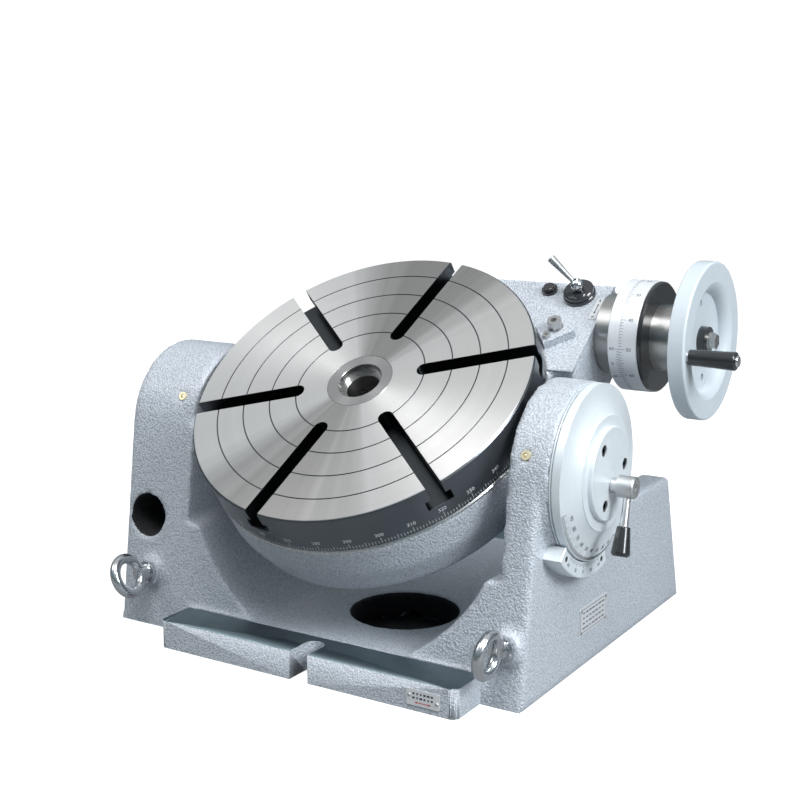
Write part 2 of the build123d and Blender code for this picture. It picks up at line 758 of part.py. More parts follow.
centre_bore = 20
centre_bore_depth = 10
with BuildPart() as centre_sleeve:
    with BuildSketch(Plane(origin=table_frame.origin, x_dir=(1, 0, 0),
                           z_dir=-table_frame.y_dir)):
        with BuildLine():
            Polyline((centre_bore, table_top), (sleeve_outer, table_top),
                     (sleeve_outer, spindle_end), (11.5, spindle_end),
                     (15.6, table_top - centre_bore_depth),
                     (centre_bore, table_top - centre_bore_depth), close=True)
        make_face()
    revolve(axis=Axis(table_frame.origin, table_frame.z_dir))
    chamfer(centre_sleeve.edges().filter_by(lambda e: e.geom_type == GeomType.CIRCLE and abs(
        table_frame.to_local_coords(e.center()).Z - table_top) < 0.1), 0.5)
save(centre_sleeve, "centre_sleeve")

# ---- worm wheel under the table, its screws and the spindle nut ----
worm_wheel_tip = 129.6
worm_wheel_bore = 94
worm_wheel_low = -7
with BuildPart() as worm_wheel:
    with BuildSketch(level(worm_wheel_low)):
        Circle(worm_wheel_tip)
        Circle(worm_wheel_bore, mode=Mode.SUBTRACT)
        with PolarLocations(worm_wheel_tip, worm_teeth):
            Trapezoid(10.2, 5.6, 68, rotation=90, mode=Mode.SUBTRACT)
    extrude(amount=30)
    with BuildSketch(level(worm_wheel_low + 30)):
        Circle(120)
        Circle(worm_wheel_bore, mode=Mode.SUBTRACT)
    extrude(amount=table_underside - worm_wheel_low - 30)
    with BuildSketch(level(worm_wheel_low)):
        with PolarLocations(100, 6, start_angle=slot_phase + 30):
            Circle(3.1)
    extrude(amount=table_underside - worm_wheel_low, mode=Mode.SUBTRACT)
    with BuildSketch(level(worm_wheel_low)):
        with PolarLocations(100, 6, start_angle=slot_phase + 30):
            Circle(5.2)
    extrude(amount=7, mode=Mode.SUBTRACT)
save(worm_wheel, "worm_wheel")
wheel_screw_seat = Plane(origin=level(worm_wheel_low + 7).origin, x_dir=(1, 0, 0),
                         z_dir=-table_frame.z_dir)
worm_wheel_screws = cap_screws(around(wheel_screw_seat, 100, 6, -slot_phase - 30),
                               5.0, 3.0, 6.0, 52, 2.5)
save(worm_wheel_screws, "worm_wheel_screws")

with BuildPart() as thrust_ring:
    with BuildSketch(level(hub_top)):
        Circle(86)
        Circle(52, mode=Mode.SUBTRACT)
    extrude(amount=table_underside - gap - hub_top)
save(thrust_ring, "thrust_ring")

with BuildPart() as spindle_nut:
    with BuildSketch(level(body_bottom - 0.5)):
        Circle(48)
        Circle(40, mode=Mode.SUBTRACT)
        with PolarLocations(48, 4):
            Rectangle(6, 7, mode=Mode.SUBTRACT)
    extrude(amount=spindle_end - body_bottom + 0.5)
save(spindle_nut, "spindle_nut")

# ---- worm, its bearings and the dial stack ----
worm_tip = worm_reach - worm_wheel_tip - 0.4
worm_pitch = 9.05
shaft_end = 262
hub_end = 249
with BuildPart() as worm_shaft:
    for start, end, radius in [(-28, 28, worm_tip - 5.5), (-84, hub_end, shaft_radius),
                               (hub_end, shaft_end, 8), (100, 108, 20),
                               *ridges(-30, 30, worm_tip, worm_pitch)]:
        with BuildSketch(worm_line(start)):
            Circle(radius)
        extrude(amount=end - start)
save(worm_shaft, "worm_shaft")
inner_worm_bush = turned(worm_line(-74), [(0, 34, worm_bore)], bore=shaft_radius + running)
save(inner_worm_bush, "inner_worm_bush")
sleeve_end = 186
flange_start = housing_right + 1 - sleeve_start
eccentric_sleeve = turned(worm_line(sleeve_start),
                          [(0, flange_start, sleeve_radius),
                           (flange_start, sleeve_end - sleeve_start, sleeve_flange_radius)],
                          bore=shaft_radius + running, edge=0.6)
save(eccentric_sleeve, "eccentric_sleeve")
with BuildPart() as vernier_ring:
    with BuildSketch(worm_line(sleeve_end)):
        Circle(dial_radius)
        Circle(shaft_radius + 2, mode=Mode.SUBTRACT)
    extrude(amount=11)
    chamfer(vernier_ring.faces().sort_by(Axis.X)[0].outer_wire().edges(), 1)
save(vernier_ring, "vernier_ring")
dial_start = sleeve_end + 11 + gap
dial_end = 213
drum_radius = 20
with BuildPart() as dial_collar:
    with BuildSketch(worm_line(dial_start)):
        Circle(dial_radius)
        Circle(drum_radius + running, mode=Mode.SUBTRACT)
    extrude(amount=dial_end - dial_start)
    chamfer(dial_collar.faces().sort_by(Axis.X)[-1].outer_wire().edges(), 0.8)
save(dial_collar, "dial_collar")
hub_radius = 30
with BuildPart() as dial_lock_ring:
    with BuildSketch(worm_line(dial_end + gap)):
        Circle(dial_radius - 0.5)
        Circle(hub_radius - 2, mode=Mode.SUBTRACT)
    extrude(amount=3.6)
    chamfer(dial_lock_ring.faces().sort_by(Axis.X)[-1].outer_wire().edges(), 1.2)
save(dial_lock_ring, "dial_lock_ring")
with BuildPart() as hub_sleeve:
    for start, end, radius in ((dial_start, dial_end + gap, drum_radius),
                               (dial_end + gap, dial_end + gap + 3.6, hub_radius - 2),
                               (dial_end + gap + 3.6, hub_end, hub_radius)):
        with BuildSketch(worm_line(start)):
            Circle(radius)
        extrude(amount=end - start)
    with BuildSketch(worm_line(dial_start)):
        Circle(shaft_radius)
    extrude(amount=hub_end - dial_start, mode=Mode.SUBTRACT)
save(hub_sleeve, "hub_sleeve")

# ---- handwheel ----
wheel_front = 264
rim_inner = 52
web_front = 254
crank_place = (-50, 30)      # crank handle from the wheel's centre: up-slope, level
web_holes = [(34 * cos(radians(a)), 34 * sin(radians(a))) for a in (62, 242)]
with BuildPart() as handwheel:
    with BuildSketch(Plane(origin=worm_line(0).origin, x_dir=(1, 0, 0),
                           z_dir=-table_frame.z_dir)):
        with BuildLine():
            Polyline((hub_end, 12), (web_front, 12), (web_front, rim_inner - 9))
            RadiusArc((web_front, rim_inner - 9), (wheel_front, rim_inner), -12)
            Line((wheel_front, rim_inner), (wheel_front, wheel_radius - 2))
            RadiusArc((wheel_front, wheel_radius - 2), (wheel_front - 2, wheel_radius), -2)
            Line((wheel_front - 2, wheel_radius), (hub_end + 1, wheel_radius))
            RadiusArc((hub_end + 1, wheel_radius), (hub_end, wheel_radius - 1), -1)
            Line((hub_end, wheel_radius - 1), (hub_end, 12))
        make_face()
    revolve(axis=Axis(worm_line(0).origin, (1, 0, 0)))
    with BuildSketch(worm_line(hub_end)):
        with Locations(*web_holes):
            Circle(3.3)
        with Locations(crank_place):
            Circle(4)
        Circle(8)
    extrude(amount=wheel_front - hub_end, mode=Mode.SUBTRACT)
save(handwheel, "handwheel")
with BuildPart() as wheel_hub_cap:
    with BuildSketch(worm_line(web_front)):
        Circle(13)
    extrude(amount=7, taper=4)
    with BuildSketch(worm_line(web_front)):
        Circle(8)
    extrude(amount=7, mode=Mode.SUBTRACT)
    with BuildSketch(worm_line(hub_end + 0.1)):
        Circle(11.9)
        Circle(8, mode=Mode.SUBTRACT)
    extrude(amount=web_front - hub_end - 0.1)
save(wheel_hub_cap, "wheel_hub_cap")
with BuildPart() as wheel_nut:
    with BuildSketch(worm_line(shaft_end)):
        Circle(8.6)
    extrude(amount=1.2)
    with BuildSketch(worm_line(shaft_end + 1.2)):
        RegularPolygon(7.6, 6)
    extrude(amount=5)
    chamfer(wheel_nut.faces().sort_by(Axis.X)[-1].edges(), 0.6)
save(wheel_nut, "wheel_nut")
crank_plane = Plane(origin=worm_line(wheel_front).from_local_coords(
    Vector(*crank_place, 0)), x_dir=table_frame.y_dir, z_dir=(1, 0, 0))
crank_length = 42
with BuildPart() as crank_pin:
    with BuildSketch(crank_plane.offset(hub_end - wheel_front)):
        Circle(4)
    extrude(amount=wheel_front - hub_end + crank_length)
    with BuildSketch(crank_plane):
        Circle(5.6)
    extrude(amount=1)
    with BuildSketch(crank_plane.offset(crank_length)):
        Circle(5)
    extrude(amount=1.8)
    fillet(crank_pin.faces().sort_by(Axis.X)[-1].edges(), 1.2)
save(crank_pin, "crank_pin")
with BuildPart() as crank_handle:
    with BuildSketch(crank_plane.offset(1.4)):
        Circle(6.8)
    with BuildSketch(crank_plane.offset(crank_length - 0.4)):
        Circle(8)
    loft()
    fillet(crank_handle.faces().sort_by(Axis.X)[-1].edges(), 1.5)
    with BuildSketch(crank_plane):
        Circle(4 + running)
    extrude(amount=crank_length + 1, mode=Mode.SUBTRACT)
save(crank_handle, "crank_handle")

# ---- tilt dial on the right trunnion, its screws and the fixed vernier ----
tilt_dial_radius = 75
groove_inner = boss_face + 1.5
groove_outer = boss_face + 3
groove_depth = 2.5
dome_edge = 211
dome_top = 218.4
dome_top_radius = 49
dome_hollow = 46
with BuildPart() as tilt_dial:
    with BuildSketch(trunnion(boss_face + 0.5)):
        Circle(tilt_dial_radius)
    extrude(amount=groove_inner - boss_face - 0.5)
    with BuildSketch(trunnion(groove_inner)):
        Circle(tilt_dial_radius - groove_depth)
    extrude(amount=groove_outer - groove_inner)
    with BuildSketch(Plane(origin=(0, 0, trunnion_height), x_dir=(1, 0, 0), z_dir=(0, -1, 0))):
        with BuildLine():
            Polyline((groove_outer, 0), (groove_outer, tilt_dial_radius),
                     (dome_edge, tilt_dial_radius))
            RadiusArc((dome_edge, tilt_dial_radius), (dome_top, dome_top_radius), -dome_hollow)
            Polyline((dome_top, dome_top_radius), (dome_top + 0.6, dome_top_radius),
                     (dome_top + 0.6, 0), (groove_outer, 0))
        make_face()
    revolve(axis=Axis((0, 0, trunnion_height), (1, 0, 0)))
    with BuildSketch(trunnion(boss_face + 0.5)):
        Circle(trunnion_radius - running)
    extrude(amount=trunnion_face - boss_face - 0.5, mode=Mode.SUBTRACT)
    with BuildSketch(trunnion(boss_face)):
        with Locations(clamp_place):
            Circle(clamp_stud_radius)
    extrude(amount=40, mode=Mode.SUBTRACT)
    with BuildSketch(trunnion(dome_top + 0.6)):
        with PolarLocations(dial_screw_circle, 3, start_angle=6):
            Circle(2.6)
    extrude(amount=-11, mode=Mode.SUBTRACT)
save(tilt_dial, "tilt_dial")

dial_hub_radius = 40
dial_hub_face = 223.4
with BuildPart() as dial_hub:
    with BuildSketch(trunnion(dome_top + 0.6)):
        Circle(dial_hub_radius)
    extrude(amount=dial_hub_face - dome_top - 0.6)
    fillet(dial_hub.faces().sort_by(Axis.X)[-1].edges(), 1.2)
    with BuildSketch(trunnion(dome_top)):
        with Locations(clamp_place):
            Circle(clamp_stud_radius)
        with PolarLocations(dial_screw_circle, 3, start_angle=6):
            Circle(5.2)
    extrude(amount=10, mode=Mode.SUBTRACT)
save(dial_hub, "dial_hub")
tilt_dial_screws = cap_screws(around(trunnion(dome_top + 0.6), dial_screw_circle, 3, 6),
                              4.9, 2.5, 3.4, 10, 2.4)
save(tilt_dial_screws, "tilt_dial_screws")

# ---- fixed tilt vernier on the right cheek ----
vernier_inner = tilt_dial_radius + 1
vernier_outer = 90
vernier_face = 209
vernier_angles = (223, 288)
vernier_screw_places = [(82.5 * cos(radians(a)), 82.5 * sin(radians(a))) for a in (229, 282)]
with BuildPart() as tilt_vernier:
    with BuildSketch(trunnion(right_outer)):
        Circle(vernier_outer)
        Circle(vernier_inner, mode=Mode.SUBTRACT)
        with BuildLine():
            corners = [(140 * cos(radians(a)), 140 * sin(radians(a))) for a in vernier_angles]
            Polyline((0, 0), *corners, close=True)
        make_face(mode=Mode.INTERSECT)
        with Locations(*vernier_screw_places):
            Circle(2.6, mode=Mode.SUBTRACT)
    extrude(amount=vernier_face - right_outer)
    chamfer(tilt_vernier.faces().sort_by(Axis.X)[-1].outer_wire().edges(), 0.7)
save(tilt_vernier, "tilt_vernier")
tilt_vernier_screws = cap_screws(
    [Plane(origin=(vernier_face - 3, y, trunnion_height + z), x_dir=(0, 1, 0), z_dir=(1, 0, 0))
     for y, z in vernier_screw_places], 2.6, 2.0, 2.4, 9, 1.2)
save(tilt_vernier_screws, "tilt_vernier_screws")

# ---- tilt clamp lever ----
clamp_line = Plane(origin=(0, clamp_place[0], trunnion_height + clamp_place[1]),
                   x_dir=(0, 1, 0), z_dir=(1, 0, 0))
clamp_stud_end = 240
clamp_stud = turned(clamp_line, [(trunnion_face - clamp_stud_depth, clamp_stud_end,
                                  clamp_stud_radius)], edge=0.5)
save(clamp_stud, "clamp_stud")
barrel_start = 230
barrel_end = 245
barrel_radius = 9.5
rod_along = Vector(0.04, -0.34, -0.94).normalized()
clamp_rod_plane = Plane(origin=clamp_line.offset(238).origin, z_dir=rod_along)
rod_socket = 6.3
with BuildPart() as clamp_lever_hub:
    for start, end, radius in ((dial_hub_face + gap, barrel_start, 6.4),
                               (barrel_start, barrel_end, barrel_radius)):
        with BuildSketch(clamp_line.offset(start)):
            Circle(radius)
        extrude(amount=end - start)
    fillet(clamp_lever_hub.faces().sort_by(Axis.X)[-1].edges(), 2.2)
    with BuildSketch(clamp_line.offset(dial_hub_face)):
        Circle(clamp_stud_radius + running)
    extrude(amount=clamp_stud_end + 0.4 - dial_hub_face, mode=Mode.SUBTRACT)
    with BuildSketch(clamp_line.offset(barrel_end)):
        RegularPolygon(4.2, 6)
    extrude(amount=-3.4, mode=Mode.SUBTRACT)
    with BuildSketch(clamp_rod_plane.offset(rod_socket)):
        Circle(3)
    extrude(amount=barrel_radius, mode=Mode.SUBTRACT)
save(clamp_lever_hub, "clamp_lever_hub")
rod_end = 33
with BuildPart() as clamp_lever_rod:
    with BuildSketch(clamp_rod_plane.offset(rod_socket + 0.2)):
        Circle(3)
    extrude(amount=barrel_radius - rod_socket)
    with BuildSketch(clamp_rod_plane.offset(barrel_radius + 0.2)):
        Circle(3)
    with BuildSketch(clamp_rod_plane.offset(rod_end)):
        Circle(3.8)
    loft()
save(clamp_lever_rod, "clamp_lever_rod")
with BuildPart() as clamp_lever_knob:
    with BuildSketch(clamp_rod_plane.offset(rod_end)):
        Circle(5.6)
    with BuildSketch(clamp_rod_plane.offset(rod_end + 25)):
        Circle(8.4)
    loft()
    fillet(clamp_lever_knob.faces().sort_by(Axis(clamp_rod_plane.origin, rod_along))[-1].edges(), 3)
    fillet(clamp_lever_knob.faces().sort_by(Axis(clamp_rod_plane.origin, rod_along))[0].edges(), 1)
save(clamp_lever_knob, "clamp_lever_knob")
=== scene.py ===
"""Tilting rotary table: cast bodies, finishes, engraved scales and a plain studio.

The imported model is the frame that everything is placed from. Lengths are in metres and the
angles of scales in degrees.
"""

import json
import logging
import math
from collections.abc import Callable, Iterable
from dataclasses import dataclass
from enum import Enum

import bmesh
import bpy
from mathutils import Matrix, Vector


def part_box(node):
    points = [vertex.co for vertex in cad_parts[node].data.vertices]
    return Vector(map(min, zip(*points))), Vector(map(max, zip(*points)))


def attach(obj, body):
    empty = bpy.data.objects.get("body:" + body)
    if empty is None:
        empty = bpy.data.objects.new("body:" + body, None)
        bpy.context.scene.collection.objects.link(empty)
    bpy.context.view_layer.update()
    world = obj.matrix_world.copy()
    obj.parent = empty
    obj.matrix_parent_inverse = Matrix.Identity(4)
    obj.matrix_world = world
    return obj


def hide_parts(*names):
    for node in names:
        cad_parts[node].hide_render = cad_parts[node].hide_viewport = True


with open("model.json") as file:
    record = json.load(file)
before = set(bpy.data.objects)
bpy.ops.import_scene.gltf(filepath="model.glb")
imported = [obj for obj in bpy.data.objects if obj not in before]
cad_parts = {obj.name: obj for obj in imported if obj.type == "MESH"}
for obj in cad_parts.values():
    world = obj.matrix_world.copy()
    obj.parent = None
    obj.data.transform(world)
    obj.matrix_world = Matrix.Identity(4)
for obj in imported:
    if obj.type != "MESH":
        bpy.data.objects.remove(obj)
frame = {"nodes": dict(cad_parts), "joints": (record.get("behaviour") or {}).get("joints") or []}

LOG = logging.getLogger("rotary_table")
MM = 0.001
WHITE = (1.0, 1.0, 1.0, 1.0)
Colour = tuple[float, float, float]


# ---- places taken from the frame ----


def joint(name: str) -> dict:
    """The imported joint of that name."""
    return next(j for j in frame["joints"] if j["name"] == name)


def placed(origin: Iterable[float], x_axis: Iterable[float], z_axis: Iterable[float]) -> Matrix:
    """Frame of reference at a point.

    Args:
        origin: where it stands.
        x_axis: its X direction, square to z_axis.
        z_axis: its Z direction.

    Returns:
        The matrix from that frame to the object's.
    """
    z = Vector(z_axis).normalized()
    y = z.cross(Vector(x_axis)).normalized()
    turn = Matrix((y.cross(z), y, z)).transposed().to_4x4()
    return Matrix.Translation(Vector(origin)) @ turn


def local_box(node: str, place: Matrix) -> tuple[Vector, Vector]:
    """Lowest and highest corner of a CAD node in another frame.

    Args:
        node: the CAD node's name.
        place: that frame's matrix.

    Returns:
        The two corners, in that frame.
    """
    inward = place.inverted()
    points = [inward @ v.co for v in frame["nodes"][node].data.vertices]
    low = Vector(min(p[i] for p in points) for i in range(3))
    high = Vector(max(p[i] for p in points) for i in range(3))
    return low, high


SPIN = joint("table_spin")
TABLE = placed(SPIN["pos_m"], (1, 0, 0), SPIN["axis"])
UP_SLOPE = TABLE.to_3x3() @ Vector((0, 1, 0))
WORM = placed(joint("worm_spin")["pos_m"], UP_SLOPE, joint("worm_spin")["axis"])
TRUNNION = placed(joint("cradle_tilt")["pos_m"], (0, 1, 0), joint("cradle_tilt")["axis"])


# ---- material nodes ----


class Graph:
    """A material and short calls that wire its nodes."""

    def __init__(self, name: str) -> None:
        """Start a material with one surface shader, read in object coordinates."""
        self.material = bpy.data.materials.new(name)
        self.material.use_nodes = True
        self.nodes = self.material.node_tree.nodes
        self.links = self.material.node_tree.links
        self.shader = self.nodes["Principled BSDF"]
        self.place = self.add("ShaderNodeTexCoord").outputs["Object"]

    def add(self, kind: str, inputs: dict | None = None, **settings: object) -> bpy.types.Node:
        """Add one node.

        Args:
            kind: the node's type name.
            inputs: socket name or number to a value or to another node's output.
            settings: the node's own settings.

        Returns:
            The node.
        """
        node = self.nodes.new(kind)
        for key, value in settings.items():
            setattr(node, key, value)
        for key, value in (inputs or {}).items():
            self.put(node.inputs[key], value)
        return node

    def put(self, socket: bpy.types.NodeSocket, value: object) -> None:
        """Link an output to a socket, or set the socket's own value."""
        if isinstance(value, bpy.types.NodeSocket):
            self.links.new(value, socket)
        else:
            socket.default_value = value

    def surface(self, **values: object) -> None:
        """Set the shader's sockets, named with underscores for spaces."""
        for key, value in values.items():
            if isinstance(value, tuple) and len(value) == 3 and key.endswith("olour"):
                value = (*value, 1.0)
            self.put(self.shader.inputs[SOCKETS[key]], value)

    def calc(self, operation: str, first: object, second: object = 0.0) -> bpy.types.NodeSocket:
        """One sum of two numbers."""
        node = self.add("ShaderNodeMath", {0: first, 1: second}, operation=operation)
        return node.outputs[0]

    def vector(self, operation: str, first: object, second: object = (0, 0, 0),
               out: str = "Vector") -> bpy.types.NodeSocket:
        """One sum of two vectors."""
        node = self.add("ShaderNodeVectorMath", {0: first, 1: second}, operation=operation)
        return node.outputs[out]

    def noise(self, scale: float, detail: float = 2.0, where: object = None,
              rough: float = 0.5) -> bpy.types.NodeSocket:
        """Noise from 0 to 1 at a point."""
        inputs = {"Vector": where or self.place, "Scale": scale, "Detail": detail,
                  "Roughness": rough}
        return self.add("ShaderNodeTexNoise", inputs).outputs[0]

    def cells(self, scale: float, where: object = None) -> bpy.types.NodeSocket:
        """Distance to the nearest cell middle, rounded between cells."""
        node = self.add("ShaderNodeTexVoronoi", {"Vector": where or self.place, "Scale": scale,
                                                 "Smoothness": 0.6}, feature="SMOOTH_F1")
        return node.outputs["Distance"]

    def span(self, value: object, low: float, high: float, start: float = 0.0,
             end: float = 1.0) -> bpy.types.NodeSocket:
        """Value taken from low..high to start..end, held at both ends."""
        inputs = {"Value": value, "From Min": low, "From Max": high, "To Min": start,
                  "To Max": end}
        return self.add("ShaderNodeMapRange", inputs).outputs[0]

    def mixed(self, share: object, first: object, second: object) -> bpy.types.NodeSocket:
        """Colour between two colours."""
        node = self.add("ShaderNodeMix", data_type="RGBA")
        for number, value in ((0, share), (6, first), (7, second)):
            self.put(node.inputs[number], (*value, 1.0) if isinstance(value, tuple) else value)
        return node.outputs[2]

    def bump(self, height: object, distance: float, strength: float = 1.0,
             under: object = None) -> bpy.types.NodeSocket:
        """Relief of a height map, in metres."""
        inputs = {"Height": height, "Distance": distance, "Strength": strength}
        if under is not None:
            inputs["Normal"] = under
        return self.add("ShaderNodeBump", inputs).outputs[0]

    def within(self, place: Matrix) -> bpy.types.NodeSocket:
        """Object coordinates seen from another frame."""
        return self.add("ShaderNodeMapping", {
            "Vector": self.place, "Location": place.translation,
            "Rotation": place.to_euler()}, vector_type="TEXTURE").outputs[0]

    def around(self, place: Matrix) -> tuple[bpy.types.NodeSocket, bpy.types.NodeSocket, object]:
        """Position about a frame's Z axis.

        Args:
            place: the frame.

        Returns:
            Distance from the axis, the vector from it, and the X, Y and Z in the frame.
        """
        parts = self.add("ShaderNodeSeparateXYZ", {0: self.within(place)}).outputs
        flat = self.add("ShaderNodeCombineXYZ", {0: parts[0], 1: parts[1]}).outputs[0]
        return self.vector("LENGTH", flat, out="Value"), flat, parts


SOCKETS = {
    "colour": "Base Color", "metal": "Metallic", "rough": "Roughness", "normal": "Normal",
    "coat": "Coat Weight", "coat_rough": "Coat Roughness", "grain": "Anisotropic",
    "tangent": "Tangent", "specular": "Specular IOR Level",
}
MADE: dict[str, bpy.types.Material] = {}
# Near-black painted shade, over bare iron inside bore holes and on the floor under the bed, and
# how far down a bore it reaches.
BARE_IRON_IN_PAINTED_SHADE = (0.016, 0.017, 0.019)
DEEP_PAINTED_SHADE = (0.006, 0.006, 0.007)
BORE_SHADE_DEPTH = 180 * MM


class Finish:
    """A named finish whose material is made once."""

    name: str

    def build(self) -> Graph:
        """Wire the finish's nodes."""
        raise NotImplementedError

    def material(self) -> bpy.types.Material:
        """The finish's material."""
        if self.name not in MADE:
            MADE[self.name] = self.build().material
        return MADE[self.name]


@dataclass(frozen=True)
class CastEnamel(Finish):
    """Hammertone enamel over rough cast iron."""

    name: str
    colour: Colour = (0.475, 0.51, 0.56)
    pebble: float = 1.8 * MM
    relief: float = 0.75 * MM
    bare_radius: float = 0.0
    bare_level: float = 0.0
    # Frames and radii of bore holes whose insides get near-black painted shade.
    shaded_bores: tuple[tuple[Matrix, float], ...] = ()

    def build(self) -> Graph:
        """Pebbled relief whose crests are painted paler as highlight and hollows darker as painted
        shade; a bare turned lip if given; each given bore darkened to near black as painted shade
        over bare iron.
        """
        g = Graph(self.name)
        swirl = g.add("ShaderNodeTexNoise", {"Vector": g.place, "Scale": 260.0, "Detail": 1.0})
        bend = 0.9 * self.pebble
        where = g.vector("ADD", g.place, g.vector("MULTIPLY", swirl.outputs[1], (bend,) * 3))
        pebbles = g.cells(1 / self.pebble, where)
        grit = g.noise(900.0, 2.0)
        swell = g.noise(38.0, 2.0)
        height = g.calc("ADD", g.calc("MULTIPLY", pebbles, -1.0), g.calc("MULTIPLY", grit, 0.25))
        height = g.calc("ADD", height, g.calc("MULTIPLY", swell, 0.35))
        # Colour follows the relief: paler on the pebbles' tops as painted highlight, darker
        # towards the cell edges as painted shade in the hollows.
        hollow_shade_share = g.span(pebbles, 0.15, 0.70)
        dark = tuple(0.74 * c for c in self.colour)
        pale = tuple(min(1.0, 1.12 * c) for c in self.colour)
        colour = g.mixed(hollow_shade_share, pale, dark)
        normal = g.bump(height, self.relief)
        rough = g.span(grit, 0.2, 0.8, 0.30, 0.42)
        g.surface(coat_rough=0.22, coat=0.25, specular=0.5)
        if self.bare_radius:
            radius, _, parts = g.around(TABLE)
            edge = g.calc("ADD", radius, g.calc("MULTIPLY", g.noise(300.0), 0.3 * MM))
            lip = g.calc("MULTIPLY", g.calc("LESS_THAN", edge, self.bare_radius),
                         g.calc("GREATER_THAN", parts[2], self.bare_level))
            steel = g.mixed(g.noise(60.0, 4.0), (0.72, 0.72, 0.70), (0.60, 0.60, 0.59))
            colour = g.mixed(lip, colour, steel)
            rough = g.calc("SUBTRACT", rough, g.calc("MULTIPLY", lip, 0.08))
            normal = g.bump(g.calc("MULTIPLY", height, g.calc("SUBTRACT", 1.0, lip)),
                            self.relief)
            g.surface(metal=lip)
        # Inside each given bore, down to its depth: bare iron darkened to near black as painted
        # shade.
        for place, bore in self.shaded_bores:
            radius, _, parts = g.around(place)
            sunk = g.calc("MULTIPLY", g.calc("LESS_THAN", parts[2], 0.0),
                          g.calc("GREATER_THAN", parts[2], -BORE_SHADE_DEPTH))
            inside = g.calc("MULTIPLY", g.calc("LESS_THAN", radius, bore), sunk)
            colour = g.mixed(inside, colour, g.mixed(grit, BARE_IRON_IN_PAINTED_SHADE, DEEP_PAINTED_SHADE))
            rough = g.calc("MAXIMUM", rough, g.calc("MULTIPLY", inside, 0.8))
        g.surface(colour=colour, rough=rough, normal=normal)
        return g


@dataclass(frozen=True)
class Turned(Finish):
    """Metal cut in a lathe: fine rings about an axis, with lighter and darker sectors across them
    painted as highlight and shade, and painted shade on slot walls and the rim side.
    """

    name: str
    place: Matrix
    colour: Colour
    # Darker colour for slot walls and the rim side: painted shade.
    side: Colour
    rough: float = 0.3
    grain: float = 0.75
    ring: float = 1.4 * MM
    face_level: float = -1.0
    slot_depth: float = 20 * MM
    outer: float = 1.0
    # How much darker the painted shade sectors are, and the angle of the painted highlight.
    painted_sector_shade: float = 0.0
    painted_highlight_angle: float = 0.0
    metal: float = 1.0

    def build(self) -> Graph:
        """Rings, with painted highlight and shade sectors, from the distance and direction to the
        axis; painted shade in slots and on the rim side.
        """
        g = Graph(self.name)
        radius, flat, parts = g.around(self.place)
        outward = g.vector("NORMALIZE", flat)
        lean = g.vector("ADD", outward, (0, 0, 0.02))
        turned = g.add("ShaderNodeMapping", {"Vector": lean, "Rotation": self.place.to_euler()},
                       vector_type="VECTOR").outputs[0]
        tangent = g.add("ShaderNodeVectorTransform", {0: turned}, vector_type="VECTOR",
                        convert_from="OBJECT", convert_to="WORLD").outputs[0]
        ring_at = g.add("ShaderNodeCombineXYZ", {0: radius, 1: g.calc("MULTIPLY", parts[2], 0.7)})
        rings = g.noise(1 / self.ring, 3.0, ring_at.outputs[0])
        broad = g.noise(0.09 / self.ring, 2.0, ring_at.outputs[0])
        # Noise by direction from the axis: sectors of painted highlight and painted shade.
        painted_sector_noise = g.noise(2.3, 2.0, outward)
        dirt = g.noise(34.0, 4.0)
        # Darker tone for the rings' turning marks, also used as the sectors' painted shade.
        dim = tuple(0.90 * c for c in self.colour)
        colour = g.mixed(g.span(g.calc("ADD", rings, broad), 0.7, 1.3), self.colour, dim)
        colour = g.mixed(g.span(painted_sector_noise, 0.42, 0.60, 0.0, 0.5), colour, dim)
        # Two lighter and two darker sectors about the axis, with streaky edges: painted highlight
        # and painted shade.
        if self.painted_sector_shade:
            angle = g.calc("ARCTAN2", parts[1], parts[0])
            angle = g.calc("ADD", angle, g.calc("MULTIPLY", painted_sector_noise, 0.5))
            angle = g.calc("SUBTRACT", angle, math.radians(self.painted_highlight_angle))
            painted_sector_wave = g.calc("COSINE", g.calc("MULTIPLY", angle, 2.0))
            shaded = tuple((1 - self.painted_sector_shade) * c for c in self.colour)
            painted_sector_streaks = g.calc("MULTIPLY", g.noise(7.0, 3.0, outward), 0.5)
            colour = g.mixed(g.span(g.calc("ADD", painted_sector_wave, painted_sector_streaks), 0.45, 1.2), colour, shaded)
        # Painted shade: below the turned face the colour darkens with depth into slots and
        # grooves, and the rim side takes the side colour as painted shade.
        sunk = g.calc("SUBTRACT", self.face_level, parts[2])
        slot_shade_share = g.span(sunk, 0.5 * MM, self.slot_depth, 0.35, 1.0)
        below = g.calc("GREATER_THAN", sunk, 0.45 * MM)
        rim = g.calc("GREATER_THAN", radius, self.outer)
        deepest_slot_shade = tuple(0.42 * c for c in self.side)
        walls = g.mixed(rim, g.mixed(slot_shade_share, self.side, deepest_slot_shade), self.side)
        colour = g.mixed(g.calc("MAXIMUM", below, rim), colour, walls)
        soft = g.span(g.calc("ADD", g.calc("MULTIPLY", dirt, 0.4), rings), 0.4, 1.1,
                      self.rough - 0.03, self.rough + 0.04)
        g.surface(colour=colour, metal=self.metal, rough=soft, grain=self.grain, tangent=tangent,
                  normal=g.bump(rings, 0.012 * MM, 0.6))
        return g


